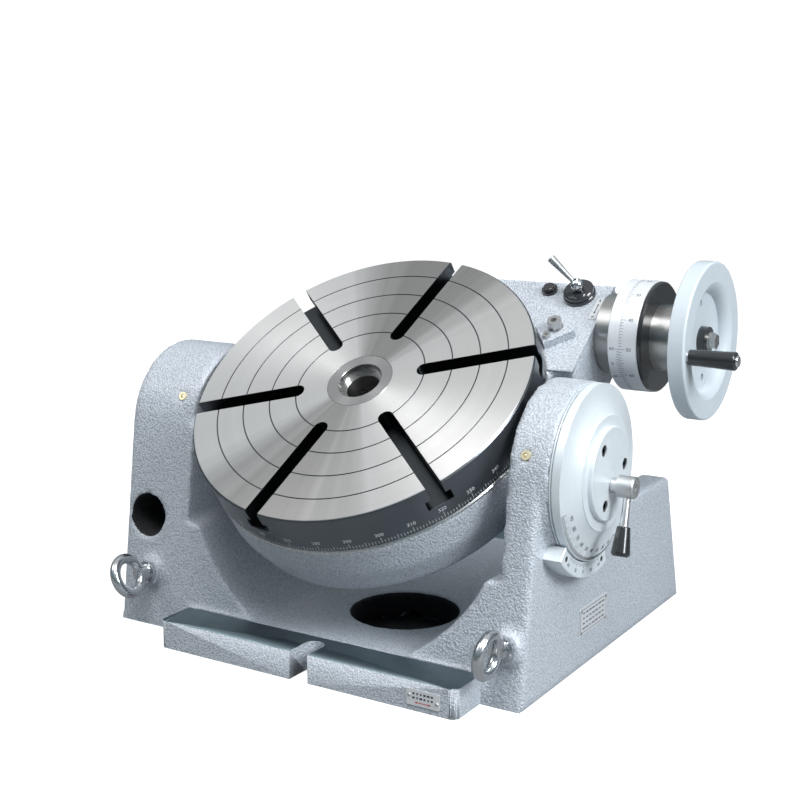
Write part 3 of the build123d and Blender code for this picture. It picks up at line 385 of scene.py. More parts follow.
@dataclass(frozen=True)
class Machined(Finish):
    """Plain machined, plated or polished metal with a faint cutter grain."""

    name: str
    colour: Colour
    rough: float = 0.3
    grain_size: float = 0.5 * MM
    along: Colour = (1.0, 1.0, 1.0)
    relief: float = 0.02 * MM
    tarnish: float = 0.15
    metal: float = 1.0

    def build(self) -> Graph:
        """Stretched grain, cloudy tarnish and a faint relief."""
        g = Graph(self.name)
        where = g.vector("MULTIPLY", g.place, self.along)
        lines = g.noise(1 / self.grain_size, 3.0, where)
        cloud = g.noise(30.0, 4.0)
        dull = tuple((1 - self.tarnish) * c for c in self.colour)
        mix = g.span(g.calc("ADD", g.calc("MULTIPLY", lines, 0.6), cloud), 0.5, 1.1)
        rough = g.span(cloud, 0.3, 0.7, self.rough * 0.85, self.rough * 1.25)
        g.surface(colour=g.mixed(mix, self.colour, dull), metal=self.metal, rough=rough,
                  normal=g.bump(lines, self.relief))
        return g


@dataclass(frozen=True)
class Enamel(Finish):
    """Smooth paint, moulded plastic or ink, with a slight orange peel."""

    name: str
    colour: Colour
    rough: float = 0.35
    coat: float = 0.0
    peel: float = 1.2 * MM
    relief: float = 0.03 * MM
    fade: float = 0.12

    def build(self) -> Graph:
        """Fine peel, and handling marks in colour and gloss."""
        g = Graph(self.name)
        peel = g.noise(1 / self.peel, 2.0)
        marks = g.noise(24.0, 5.0, rough=0.65)
        worn = tuple(c * (1 - self.fade) + 0.5 * self.fade * c for c in self.colour)
        g.surface(colour=g.mixed(g.span(marks, 0.35, 0.7), self.colour, worn),
                  rough=g.span(marks, 0.3, 0.75, self.rough * 0.8, self.rough * 1.3),
                  coat=self.coat, coat_rough=0.08, normal=g.bump(peel, self.relief))
        return g


# ---- the object's finishes ----

TABLE_BOX = local_box("rotary_table", TABLE)
TABLE_RADIUS = TABLE_BOX[1].x
TABLE_TOP = TABLE_BOX[1].z
BODY_TOP = local_box("cradle_casting", TABLE)[1].z
DRIVE_AT = joint("tilt_worm_spin")["pos_m"]

DRIVE_MOUTH = -95 * MM
DRIVE_HOLE = placed((DRIVE_AT[0], DRIVE_MOUTH, DRIVE_AT[2]), (1, 0, 0), (0, -1, 0))
FLOOR_HOLE = placed((20 * MM, 2 * MM, 25.4 * MM), (1, 0, 0), (0, 0, 1))
DRIVE_RADIUS, FLOOR_RADIUS = 20.7 * MM, 51.2 * MM

# The tilt-drive hole and the floor opening are darkened inside as painted shade.
CASTING = CastEnamel("casting_enamel",
                     shaded_bores=((DRIVE_HOLE, DRIVE_RADIUS), (FLOOR_HOLE, FLOOR_RADIUS)))
PLAIN_CASTING = CastEnamel("plain_enamel")
CRADLE_CASTING = CastEnamel("cradle_enamel", bare_radius=TABLE_RADIUS + 1.0 * MM,
                            bare_level=BODY_TOP - 2.6 * MM)
# The table's face gets painted highlight and shade sectors; its dark side colour is painted shade
# on the rim side and in the slots and grooves.
TABLE_STEEL = Turned("table_steel", TABLE, (0.93, 0.915, 0.90), (0.15, 0.165, 0.18), rough=0.30,
                     face_level=TABLE_TOP, outer=TABLE_RADIUS - 0.7 * MM, painted_sector_shade=0.62, painted_highlight_angle=98.0)
SLEEVE_STEEL = Turned("sleeve_steel", TABLE, (0.50, 0.495, 0.49), (0.32, 0.32, 0.32), rough=0.26)
WORM_STEEL = Turned("worm_line_steel", WORM, (0.50, 0.50, 0.49), (0.4, 0.4, 0.4), rough=0.33)
DIAL_SATIN = Turned("dial_satin", WORM, (0.76, 0.79, 0.82), (0.5, 0.5, 0.5), rough=0.36,
                    metal=0.3)
VERNIER_SATIN = Turned("vernier_satin", WORM, (0.78, 0.81, 0.84), (0.5, 0.5, 0.5), rough=0.4,
                       metal=0.3)
TILT_SATIN = Turned("tilt_dial_satin", TRUNNION, (0.74, 0.79, 0.82), (0.5, 0.5, 0.5), rough=0.42,
                    grain=0.5, metal=0.35)
FLANGE_STEEL = Machined("flange_planed", (0.20, 0.26, 0.29), 0.34, 0.7 * MM, (1.0, 0.06, 1.0),
                        tarnish=0.3)
STEEL = Machined("bright_steel", (0.58, 0.58, 0.575), 0.28)
PALE_STEEL = Machined("lever_steel", (0.66, 0.67, 0.67), 0.34)
ZINC = Machined("zinc_plate", (0.66, 0.68, 0.70), 0.22, 1.4 * MM, relief=0.08 * MM, tarnish=0.25)
CHROME = Machined("chrome_plate", (0.80, 0.81, 0.83), 0.10, 1.0 * MM, relief=0.01 * MM)
BRASS = Machined("brass", (0.90, 0.80, 0.55), 0.30, metal=0.5)
BRONZE = Machined("tin_bronze", (0.62, 0.42, 0.22), 0.32)
PLATE = Machined("etched_plate", (0.72, 0.74, 0.76), 0.38, 0.4 * MM, (0.05, 0.05, 1.0),
                 metal=0.4)
SCREW_BLACK = Machined("black_oxide", (0.045, 0.047, 0.055), 0.34, tarnish=0.4)
GLOSS_BLACK = Enamel("gloss_black", (0.012, 0.013, 0.016), 0.22, coat=0.8)
BAKELITE = Enamel("bakelite", (0.015, 0.016, 0.018), 0.18, coat=0.6)
WHEEL_PAINT = Enamel("wheel_enamel", (0.50, 0.55, 0.59), 0.34, coat=0.3, relief=0.05 * MM)
INK = Enamel("scale_ink", (0.03, 0.03, 0.035), 0.5)
PALE_INK = Enamel("scale_bright", (0.55, 0.57, 0.58), 0.45)
RED_INK = Enamel("arrow_ink", (0.42, 0.04, 0.03), 0.45)
FLOOR = Enamel("studio_floor", (0.22, 0.225, 0.23), 0.8, relief=0.0)


# ---- making pieces ----


def add_piece(name: str, mesh: bpy.types.Mesh, body: str) -> bpy.types.Object:
    """A finished mesh as a piece that rides on a body.

    Args:
        name: the piece's name.
        mesh: its mesh, already where it belongs.
        body: the CAD body that carries it.

    Returns:
        The piece.
    """
    piece = bpy.data.objects.new(name, mesh)
    bpy.context.scene.collection.objects.link(piece)
    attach(piece, body)
    LOG.info("%s: %d faces on %s", name, len(mesh.polygons), body)
    return piece


def evaluated_mesh(holder: bpy.types.Object) -> bpy.types.Mesh:
    """Plain mesh of an object as its modifiers leave it."""
    graph = bpy.context.evaluated_depsgraph_get()
    return bpy.data.meshes.new_from_object(holder.evaluated_get(graph))


def dress(finish: Finish, *nodes: str) -> None:
    """Give CAD nodes a finish."""
    for name in nodes:
        for slot in frame["nodes"][name].material_slots:
            slot.material = finish.material()
        LOG.info("%s: %s", name, finish.name)


class Tree:
    """A geometry node tree with named inputs that leaves plain geometry in one finish."""

    def __init__(self, name: str, inputs: dict[str, str]) -> None:
        """Start a tree.

        Args:
            name: its name.
            inputs: input name to socket kind, such as Float or Int.
        """
        self.group = bpy.data.node_groups.new(name, "GeometryNodeTree")
        for key, kind in {**inputs, "Finish": "Material"}.items():
            self.group.interface.new_socket(key, in_out="INPUT", socket_type=f"NodeSocket{kind}")
        self.group.interface.new_socket("Geometry", in_out="OUTPUT",
                                        socket_type="NodeSocketGeometry")
        self.given = self.add("NodeGroupInput").outputs

    def add(self, kind: str, inputs: dict | None = None, **settings: object) -> bpy.types.Node:
        """Add one node, with its inputs by name or number."""
        node = self.group.nodes.new(kind)
        for key, value in settings.items():
            setattr(node, key, value)
        for key, value in (inputs or {}).items():
            if isinstance(value, bpy.types.NodeSocket):
                self.group.links.new(value, node.inputs[key])
            else:
                node.inputs[key].default_value = value
        return node

    def calc(self, operation: str, first: object, second: object = 0.0) -> bpy.types.NodeSocket:
        """One sum of two numbers."""
        return self.add("ShaderNodeMath", {0: first, 1: second}, operation=operation).outputs[0]

    def vector(self, x: object = 0.0, y: object = 0.0, z: object = 0.0) -> bpy.types.NodeSocket:
        """Vector of three numbers."""
        return self.add("ShaderNodeCombineXYZ", {0: x, 1: y, 2: z}).outputs[0]

    def close(self, instances: bpy.types.NodeSocket) -> None:
        """End the tree: real geometry in the given finish."""
        real = self.add("GeometryNodeRealizeInstances", {0: instances}).outputs[0]
        done = self.add("GeometryNodeSetMaterial", {"Geometry": real,
                                                    "Material": self.given["Finish"]})
        self.group.links.new(done.outputs[0], self.add("NodeGroupOutput").inputs[0])

    def run(self, name: str, place: Matrix, finish: Finish, body: str,
            **values: object) -> bpy.types.Object:
        """Make a piece of the tree's result.

        Args:
            name: the piece's name.
            place: the frame that the tree works in.
            finish: the piece's finish.
            body: the CAD body that carries it.
            values: the tree's inputs, with underscores for spaces.

        Returns:
            The piece.
        """
        holder = bpy.data.objects.new("holder", bpy.data.meshes.new("holder"))
        bpy.context.scene.collection.objects.link(holder)
        modifier = holder.modifiers.new("build", "NODES")
        modifier.node_group = self.group
        known = {s.name: s.identifier for s in self.group.interface.items_tree
                 if s.item_type == "SOCKET" and s.in_out == "INPUT"}
        modifier[known["Finish"]] = finish.material()
        for key, value in values.items():
            modifier[known[key.replace("_", " ")]] = value
        mesh = evaluated_mesh(holder)
        holder.modifiers.remove(modifier)
        bpy.data.objects.remove(holder)
        mesh.transform(place)
        return add_piece(name, mesh, body)


def graduation_tree() -> Tree:
    """Tree that sets marks at equal angles on a circle, longer every fifth and tenth."""
    floats = ("Radius", "Level", "First", "Step", "Width", "Short", "Middle", "Long",
              "Thickness", "Lean")
    tree = Tree("graduations", {"Count": "Int", "Minor": "Float", "Major": "Float",
                                **{key: "Float" for key in floats},
                                "Run": "Vector", "Skin": "Vector", "Anchor": "Vector"})
    given = tree.given
    index = tree.add("GeometryNodeInputIndex").outputs[0]
    angle = tree.calc("ADD", given["First"], tree.calc("MULTIPLY", index, given["Step"]))
    steps = [tree.calc("LESS_THAN", tree.calc("MODULO", tree.calc("ADD", index, 0.01),
                                              given[key]), 0.5) for key in ("Minor", "Major")]
    length = given["Short"]
    for step, upper, lower in ((steps[0], "Middle", "Short"), (steps[1], "Long", "Middle")):
        more = tree.calc("MULTIPLY", step, tree.calc("SUBTRACT", given[upper], given[lower]))
        length = tree.calc("ADD", length, more)
    spot = tree.vector(tree.calc("MULTIPLY", given["Radius"], tree.calc("COSINE", angle)),
                       tree.calc("MULTIPLY", given["Radius"], tree.calc("SINE", angle)),
                       given["Level"])
    points = tree.add("GeometryNodePoints", {"Count": given["Count"], "Position": spot})
    block = tree.add("GeometryNodeMeshCube", {"Size": (1.0, 1.0, 1.0)})
    block = tree.add("GeometryNodeTransform", {"Geometry": block.outputs[0],
                                               "Translation": given["Anchor"]})
    sizes = [tree.add("ShaderNodeVectorMath", {0: given[key], "Scale": value},
                      operation="SCALE").outputs[0]
             for key, value in (("Run", length), ("Skin", given["Thickness"]))]
    size = tree.add("ShaderNodeVectorMath", {0: sizes[0], 1: sizes[1]}, operation="ADD")
    size = tree.add("ShaderNodeVectorMath", {0: size.outputs[0],
                                             1: tree.vector(y=given["Width"])}, operation="ADD")
    turn = tree.add("FunctionNodeEulerToRotation", {0: tree.vector(y=given["Lean"], z=angle)})
    marks = tree.add("GeometryNodeInstanceOnPoints", {
        "Points": points.outputs[0], "Instance": block.outputs[0],
        "Rotation": turn.outputs[0], "Scale": size.outputs[0]})
    tree.close(marks.outputs[0])
    return tree


def dash_tree() -> Tree:
    """Tree that lays rows of short dashes of uneven length on a plate."""
    tree = Tree("dashes", {"Width": "Float", "Height": "Float", "Columns": "Int", "Rows": "Int",
                           "Stroke": "Float", "Thickness": "Float"})
    given = tree.given
    grid = tree.add("GeometryNodeMeshGrid", {
        "Size X": given["Width"], "Size Y": given["Height"], "Vertices X": given["Columns"],
        "Vertices Y": given["Rows"]})
    pitch = tree.calc("DIVIDE", given["Width"], given["Columns"])
    share = tree.add("FunctionNodeRandomValue", {"Min": 0.45, "Max": 0.92, "Seed": 7},
                     data_type="FLOAT")
    share = next(o for o in share.outputs if o.enabled)
    size = tree.vector(tree.calc("MULTIPLY", pitch, share), given["Stroke"], given["Thickness"])
    block = tree.add("GeometryNodeMeshCube", {"Size": (1.0, 1.0, 1.0)})
    dashes = tree.add("GeometryNodeInstanceOnPoints", {
        "Points": grid.outputs[0], "Instance": block.outputs[0], "Scale": size})
    tree.close(dashes.outputs[0])
    return tree


class Lie(Enum):
    """How marks lie on a round part: size of a mark along its frame, and where it starts."""

    BAND_UP = ((0.0, 0.0, 1.0), (1.0, 0.0, 0.0), (0.0, 0.0, 0.5))
    BAND_DOWN = ((0.0, 0.0, 1.0), (1.0, 0.0, 0.0), (0.0, 0.0, -0.5))
    FACE_IN = ((1.0, 0.0, 0.0), (0.0, 0.0, 1.0), (-0.5, 0.0, 0.0))
    FACE_OUT = ((1.0, 0.0, 0.0), (0.0, 0.0, 1.0), (0.5, 0.0, 0.0))


class Read(Enum):
    """Which way numerals read on a round part."""

    AROUND = "baseline round the rim"
    ALONG = "baseline along the axis"
    FACE = "on a face, heads towards the axis"


GRADUATIONS = graduation_tree()
DASHES = dash_tree()
INLAY = 0.16 * MM


@dataclass(frozen=True)
class Scale:
    """A divided circle: its marks and its numerals."""

    name: str
    place: Matrix
    body: str
    radius: float
    level: float
    count: int
    first: float
    step: float
    lengths: tuple[float, float, float]
    lie: Lie
    width: float = 0.28 * MM
    every: tuple[int, int] = (5, 10)
    lean: float = 0.0
    dome: float = 0.0
    ink: Finish = INK

    def marks(self) -> bpy.types.Object:
        """Cut the marks."""
        run, skin, anchor = self.lie.value
        short, middle, long = self.lengths
        lean = math.radians(self.lean) - (middle / 2 / self.dome if self.dome else 0.0)
        return GRADUATIONS.run(
            self.name, self.place, self.ink, self.body, Count=self.count,
            Radius=self.radius, Level=self.level, First=math.radians(self.first),
            Step=math.radians(self.step), Width=self.width, Short=short, Middle=middle,
            Long=long, Thickness=INLAY, Lean=lean,
            Minor=float(self.every[0]), Major=float(self.every[1]), Run=run, Skin=skin,
            Anchor=anchor)

    def numerals(self, texts: list[str], angles: list[float], shift: float, height: float,
                 read: Read) -> bpy.types.Object:
        """Stamp the numerals.

        Args:
            texts: what each says.
            angles: where each stands.
            shift: how far its middle is from the marks' base line.
            height: a numeral's height.
            read: which way it reads.

        Returns:
            The piece.
        """
        whole = bmesh.new()
        for text, angle in zip(texts, angles):
            mesh = numeral(text, height)
            for vertex in mesh.vertices:
                vertex.co = self.wrapped(vertex.co, math.radians(angle), shift, read)
            whole.from_mesh(mesh)
            bpy.data.meshes.remove(mesh)
        bmesh.ops.recalc_face_normals(whole, faces=whole.faces)
        made = bpy.data.meshes.new(f"{self.name}_numerals")
        whole.to_mesh(made)
        whole.free()
        made.transform(self.place)
        made.materials.append(self.ink.material())
        return add_piece(f"{self.name}_numerals", made, self.body)

    def rise(self, inward: float) -> float:
        """Height of a domed face above its base line, so far in from that line."""
        if not self.dome:
            return 0.0
        start = math.radians(self.lean)
        end = math.asin(math.sin(start) - inward / self.dome)
        return self.dome * (math.cos(end) - math.cos(start))

    def wrapped(self, spot: Vector, angle: float, shift: float, read: Read) -> Vector:
        """A point of flat lettering laid on the part."""
        x, y, thick = spot
        if read is Read.FACE:
            radius = self.radius - shift - y
            rise = self.rise(self.radius - radius)
            angle += x / radius
            return Vector((radius * math.cos(angle), radius * math.sin(angle),
                           self.level + rise + thick))
        radius = self.radius + thick
        if read is Read.AROUND:
            angle += x / self.radius
            return Vector((radius * math.cos(angle), radius * math.sin(angle),
                           self.level + shift + y))
        angle -= y / self.radius
        return Vector((radius * math.cos(angle), radius * math.sin(angle),
                       self.level + shift + x))


def numeral(text: str, height: float) -> bpy.types.Mesh:
    """Flat lettering centred on the origin, with its thickness half above and half below.

    Args:
        text: what it says.
        height: the height of a digit.

    Returns:
        The mesh.
    """
    curve = bpy.data.curves.new("numeral", "FONT")
    curve.body = text
    curve.size = height / 0.69
    curve.align_x = "CENTER"
    curve.align_y = "CENTER"
    curve.resolution_u = 3
    curve.extrude = INLAY / 2
    holder = bpy.data.objects.new("numeral", curve)
    bpy.context.scene.collection.objects.link(holder)
    mesh = evaluated_mesh(holder)
    bpy.data.objects.remove(holder)
    bpy.data.curves.remove(curve)
    return mesh


@dataclass(frozen=True)
class Mould:
    """Rounds a casting as its mould leaves it, but keeps its machined ends crisp."""

    node: str
    body: str
    voxel: float = 3.0 * MM
    relax: int = 3

    def merged(self) -> bmesh.types.BMesh:
        """Copy of the CAD node with its loose triangles joined."""
        work = bmesh.new()
        work.from_mesh(frame["nodes"][self.node].data)
        bmesh.ops.remove_doubles(work, verts=work.verts, dist=0.005 * MM)
        return work

    def softened(self) -> bpy.types.Mesh:
        """The whole casting with rounded edges and corners."""
        work = self.merged()
        mesh = bpy.data.meshes.new("soft")
        work.to_mesh(mesh)
        work.free()
        holder = bpy.data.objects.new("soft", mesh)
        bpy.context.scene.collection.objects.link(holder)
        remesh = holder.modifiers.new("skin", "REMESH")
        remesh.mode = "VOXEL"
        remesh.voxel_size = self.voxel
        relax = holder.modifiers.new("relax", "SMOOTH")
        relax.factor = 0.5
        relax.iterations = self.relax
        result = evaluated_mesh(holder)
        bpy.data.objects.remove(holder)
        return result

    def build(self, name: str, cuts: list[tuple[Vector, Vector]],
              finishes: list[Finish], choose: Callable[[Vector, Vector], int]) -> bpy.types.Object:
        """Rounded body inside the cuts with crisp ends beyond them.

        Args:
            name: the piece's name.
            cuts: a point and an outward direction for each plane; beyond it the end is crisp.
            finishes: the finishes that choose numbers.
            choose: finish number of a face from its middle and its normal.

        Returns:
            The piece, which replaces the CAD node.
        """
        whole = bmesh.new()
        whole.from_mesh(self.softened())
        for spot, outward in cuts:
            trimmed(whole, spot, outward)
        for face in whole.faces:
            face.smooth = True
        for spot, outward in cuts:
            end = self.merged()
            trimmed(end, spot, -outward)
            for other, away in cuts:
                if other is not spot and away.dot(outward) > 0.0:
                    trimmed(end, other, away)
            part = bpy.data.meshes.new("end")
            end.to_mesh(part)
            end.free()
            whole.from_mesh(part)
        for face in whole.faces:
            face.material_index = choose(face.calc_center_median(), face.normal)
        mesh = bpy.data.meshes.new(name)
        whole.to_mesh(mesh)
        whole.free()
        for finish in finishes:
            mesh.materials.append(finish.material())
        mesh.set_sharp_from_angle(angle=math.radians(32))
        piece = add_piece(name, mesh, self.body)
        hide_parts(self.node)
        return piece


def trimmed(work: bmesh.types.BMesh, spot: Vector, outward: Vector) -> None:
    """Cut away what is beyond a plane and close the cut."""
    everything = [*work.verts, *work.edges, *work.faces]
    cut = bmesh.ops.bisect_plane(work, geom=everything, dist=1e-7, plane_co=spot,
                                 plane_no=outward, clear_outer=True)
    edges = [e for e in cut["geom_cut"] if isinstance(e, bmesh.types.BMEdge)]
    bmesh.ops.triangle_fill(work, edges=edges, use_beauty=True, normal=outward)


# ---- sub-assemblies ----


@dataclass
class Base:
    """Bed, cheeks and clamping flanges, with their plates, eyes, oilers and tilt drive."""

    flange_top: float = 25.5 * MM
    foot_front: float = -99 * MM
    foot_rear: float = 251 * MM

    def build(self) -> None:
        """Round the casting and keep both flanges crisp, with their tops planed."""
        def planed(spot: Vector, normal: Vector) -> int:
            beyond = spot.y < self.foot_front or spot.y > self.foot_rear
            return int(beyond and normal.z > 0.9 and spot.z > self.flange_top - 1 * MM)

        cuts = [(Vector((0, self.foot_front, 0)), Vector((0, -1, 0))),
                (Vector((0, self.foot_rear, 0)), Vector((0, 1, 0)))]
        piece = Mould("base_casting", "base").build("base_body", cuts, [CASTING, FLANGE_STEEL],
                                                    planed)
        self.name_plate()
        self.direction_plate()

    def name_plate(self) -> None:
        """Rows of dashes and a frame line on the name plate."""
        low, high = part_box("name_plate")
        middle = (low + high) / 2
        place = placed((high.x, middle.y, middle.z), (0, 1, 0), (1, 0, 0))
        wide, tall = high.y - low.y, high.z - low.z
        DASHES.run("name_plate_lines", place, INK, "base", Width=wide * 0.70, Height=tall * 0.55,
                   Columns=7, Rows=4, Stroke=1.3 * MM, Thickness=INLAY)
        border("name_plate_border", place, wide - 4 * MM, tall - 4 * MM, "base", INK)

    def direction_plate(self) -> None:
        """Two rows of dashes above a plain red arrow on the direction plate."""
        low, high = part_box("direction_plate")
        middle = (low + high) / 2
        place = placed((middle.x, low.y, middle.z + 1.6 * MM), (1, 0, 0), (0, -1, 0))
        wide, tall = high.x - low.x, high.z - low.z
        DASHES.run("direction_plate_lines", place, INK, "base", Width=wide * 0.56,
                   Height=tall * 0.26, Columns=6, Rows=2, Stroke=1.7 * MM, Thickness=INLAY)
        under = Matrix.Translation((0, 0, -5.6 * MM)) @ place
        double_arrow("direction_plate_arrow", under, wide * 0.5, "base", RED_INK)

    def dress(self) -> None:
        """Finish the base's fittings."""
        dress(PLAIN_CASTING, "left_end_cover")
        dress(ZINC, "lifting_eyes")
        dress(BRASS, "cheek_oilers")
        dress(PLATE, "name_plate", "direction_plate")
        dress(STEEL, "name_plate_rivets", "direction_plate_rivets")
        dress(BRONZE, "right_bush", "left_bush", "tilt_rear_bush", "tilt_wheel")
        dress(SCREW_BLACK, "left_cover_screws", "tilt_vernier_screws", "tilt_worm",
              "tilt_front_bush")
        dress(TILT_SATIN, "tilt_vernier")


@dataclass
class Cradle:
    """Round body and worm housing, and what stands on them."""

    lip: float = 3.0 * MM

    def build(self) -> None:
        """Round the casting below its turned top and put a double arrow on the arrow plate."""
        seam = TABLE @ Vector((0, 0, BODY_TOP - self.lip))
        axis = TABLE.to_3x3() @ Vector((0, 0, 1))
        piece = Mould("cradle_casting", "cradle").build(
            "cradle_body", [(seam, axis)], [CRADLE_CASTING], lambda spot, normal: 0)
        low, high = local_box("arrow_plate", TABLE)
        middle = (low + high) / 2
        top = TABLE @ Vector((middle.x, middle.y, high.z))
        place = placed(top, UP_SLOPE, axis)
        double_arrow("arrow_plate_arrow", place, (high.y - low.y) * 0.5, "cradle", INK)

    def dress(self) -> None:
        """Finish the cradle's fittings."""
        dress(PLAIN_CASTING, "bottom_cover", "table_clamp_block")
        dress(STEEL, "left_trunnion", "right_trunnion", "thrust_ring", "worm_end_cap",
              "arrow_plate_rivets", "table_clamp_screw", "table_clamp_pin", "clamp_stud")
        dress(SCREW_BLACK, "bottom_cover_screws")
        dress(BRONZE, "inner_worm_bush")
        dress(GLOSS_BLACK, "oil_plug", "lever_base", "engage_lever_disc")
        dress(CHROME, "engage_lever_ball")
        dress(PALE_STEEL, "engage_lever_rod")
        dress(PLATE, "arrow_plate")
        dress(WORM_STEEL, "eccentric_sleeve")


@dataclass
class Faceplate:
    """The round table, its divided rim, its sleeve and what holds it."""

    marks: tuple[float, float, float] = (3.2 * MM, 4.6 * MM, 6.4 * MM)

    def build(self) -> None:
        """Divide the rim in degrees, numbered every ten."""
        low = TABLE_TOP - 40 * MM
        scale = Scale("rim_scale", TABLE, "table", TABLE_RADIUS, low + 2.2 * MM, 360, 0.0, 1.0,
                      self.marks, Lie.BAND_UP, width=0.42 * MM, ink=PALE_INK)
        scale.marks()
        tens = list(range(0, 360, 10))
        scale.numerals([str(t) for t in tens], [float(t) for t in tens], 9.6 * MM, 3.6 * MM,
                       Read.AROUND)

    def dress(self) -> None:
        """Finish the table and its inner parts."""
        dress(TABLE_STEEL, "rotary_table")
        dress(SLEEVE_STEEL, "centre_sleeve")
        dress(BRONZE, "worm_wheel")
        dress(SCREW_BLACK, "worm_wheel_screws")
        dress(STEEL, "spindle_nut")


@dataclass
class DialStack:
    """Vernier ring, graduated collar, lock ring, hub, handwheel and crank on the worm."""

    radius: float = 50 * MM

    def build(self) -> None:
        """Divide the collar and the vernier, and number both."""
        low, high = local_box("dial_collar", WORM)
        collar = Scale("collar_scale", WORM, "dial", self.radius, low.z + 0.2 * MM, 120, 0.0, 3.0,
                       (2.4 * MM, 3.4 * MM, 4.6 * MM), Lie.BAND_UP, width=0.3 * MM)
        collar.marks()
        quarters = [float(a) for a in range(0, 360, 30)]
        collar.numerals([str(k * 10) for k in range(12)], quarters, 8.6 * MM, 3.2 * MM,
                        Read.ALONG)
        low, high = local_box("vernier_ring", WORM)
        vernier = Scale("worm_vernier_scale", WORM, "cradle", self.radius, high.z - 0.1 * MM, 13,
                        150.0, 2.75, (2.4 * MM, 2.4 * MM, 3.6 * MM), Lie.BAND_DOWN,
                        width=0.3 * MM, every=(3, 6))
        vernier.marks()
        vernier.numerals(["60", "0", "60"], [150.0, 166.5, 183.0], -6.6 * MM, 3.0 * MM,
                         Read.ALONG)

    def dress(self) -> None:
        """Finish the stack and the handwheel."""
        dress(VERNIER_SATIN, "vernier_ring")
        dress(DIAL_SATIN, "dial_collar")
        dress(GLOSS_BLACK, "dial_lock_ring", "wheel_hub_cap")
        dress(WORM_STEEL, "hub_sleeve", "worm_shaft")
        dress(WHEEL_PAINT, "handwheel")
        dress(STEEL, "wheel_nut")
        dress(CHROME, "crank_pin")
        dress(BAKELITE, "crank_handle")


@dataclass
class TiltDial:
    """Dished tilt dial on the right trunnion, its vernier and its clamp lever."""

    edge_radius: float = 74.4 * MM
    edge_offset: float = 9.9 * MM
    edge_slope: float = 32.1
    dome: float = 46 * MM
    vernier_radius: float = 77.2 * MM
    zero_angle: float = 292.5
    index_angle: float = 255.5

    def build(self) -> None:
        """Divide the dial's edge from 0 to 90 degrees of tilt, and the fixed vernier."""
        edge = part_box("tilt_dial")[0].x + self.edge_offset - TRUNNION.translation.x
        dial = Scale("tilt_scale", TRUNNION, "cradle", self.edge_radius, edge, 101,
                     self.zero_angle + 5, -1.0, (3.0 * MM, 3.9 * MM, 5.0 * MM), Lie.FACE_IN,
                     lean=self.edge_slope, dome=self.dome, width=0.3 * MM)
        dial.marks()
        tens = list(range(0, 100, 10))
        dial.numerals([str(t) for t in tens], [self.zero_angle - t for t in tens], 8.6 * MM,
                      3.4 * MM, Read.FACE)
        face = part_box("tilt_vernier")[1].x - TRUNNION.translation.x
        vernier = Scale("tilt_vernier_scale", TRUNNION, "base", self.vernier_radius, face, 25,
                        self.index_angle - 22, 11 / 6, (2.6 * MM, 3.4 * MM, 4.4 * MM),
                        Lie.FACE_OUT, every=(3, 6), width=0.3 * MM)
        vernier.marks()
        vernier.numerals(["60", "30", "0", "30", "60"],
                         [self.index_angle + a for a in (-22, -11, 0, 11, 22)], -7.4 * MM,
                         3.2 * MM, Read.FACE)

    def dress(self) -> None:
        """Finish the dial and the lever."""
        dress(TILT_SATIN, "tilt_dial", "dial_hub")
        dress(SCREW_BLACK, "tilt_dial_screws")
        dress(PALE_STEEL, "clamp_lever_hub", "clamp_lever_rod")
        dress(BAKELITE, "clamp_lever_knob")


def flat_piece(name: str, place: Matrix, loops: list[list[tuple[float, float]]], body: str,
               finish: Finish) -> bpy.types.Object:
    """Thin flat inlays of the given outlines.

    Args:
        name: the piece's name.
        place: frame whose Z stands off the plate.
        loops: outlines, each a convex list of points.
        body: the CAD body that carries it.
        finish: its finish.

    Returns:
        The piece.
    """
    work = bmesh.new()
    for loop in loops:
        face = work.faces.new([work.verts.new((x, y, -INLAY / 2)) for x, y in loop])
        raised = bmesh.ops.extrude_face_region(work, geom=[face])["geom"]
        tops = [v for v in raised if isinstance(v, bmesh.types.BMVert)]
        bmesh.ops.translate(work, verts=tops, vec=(0, 0, INLAY))
    bmesh.ops.recalc_face_normals(work, faces=work.faces)
    mesh = bpy.data.meshes.new(name)
    work.to_mesh(mesh)
    work.free()
    mesh.transform(place)
    mesh.materials.append(finish.material())
    return add_piece(name, mesh, body)


def bar(x: float, y: float, wide: float, tall: float) -> list[tuple[float, float]]:
    """Outline of a bar centred on a point."""
    return [(x - wide / 2, y - tall / 2), (x + wide / 2, y - tall / 2),
            (x + wide / 2, y + tall / 2), (x - wide / 2, y + tall / 2)]


def border(name: str, place: Matrix, wide: float, tall: float, body: str,
           finish: Finish) -> bpy.types.Object:
    """Frame line round a plate."""
    line = 0.45 * MM
    loops = [bar(0, side * tall / 2, wide, line) for side in (-1, 1)]
    loops += [bar(side * wide / 2, 0, line, tall - line) for side in (-1, 1)]
    return flat_piece(name, place, loops, body, finish)


def double_arrow(name: str, place: Matrix, length: float, body: str,
                 finish: Finish) -> bpy.types.Object:
    """Plain line with a head at each end."""
    head, stroke = 2.2 * MM, 0.7 * MM
    loops = [bar(0, 0, length - 2 * head, stroke)]
    for side in (-1, 1):
        tip, root = side * length / 2, side * (length / 2 - head)
        loops.append([(root, -1.1 * MM), (tip, 0), (root, 1.1 * MM)])
    return flat_piece(name, place, loops, body, finish)


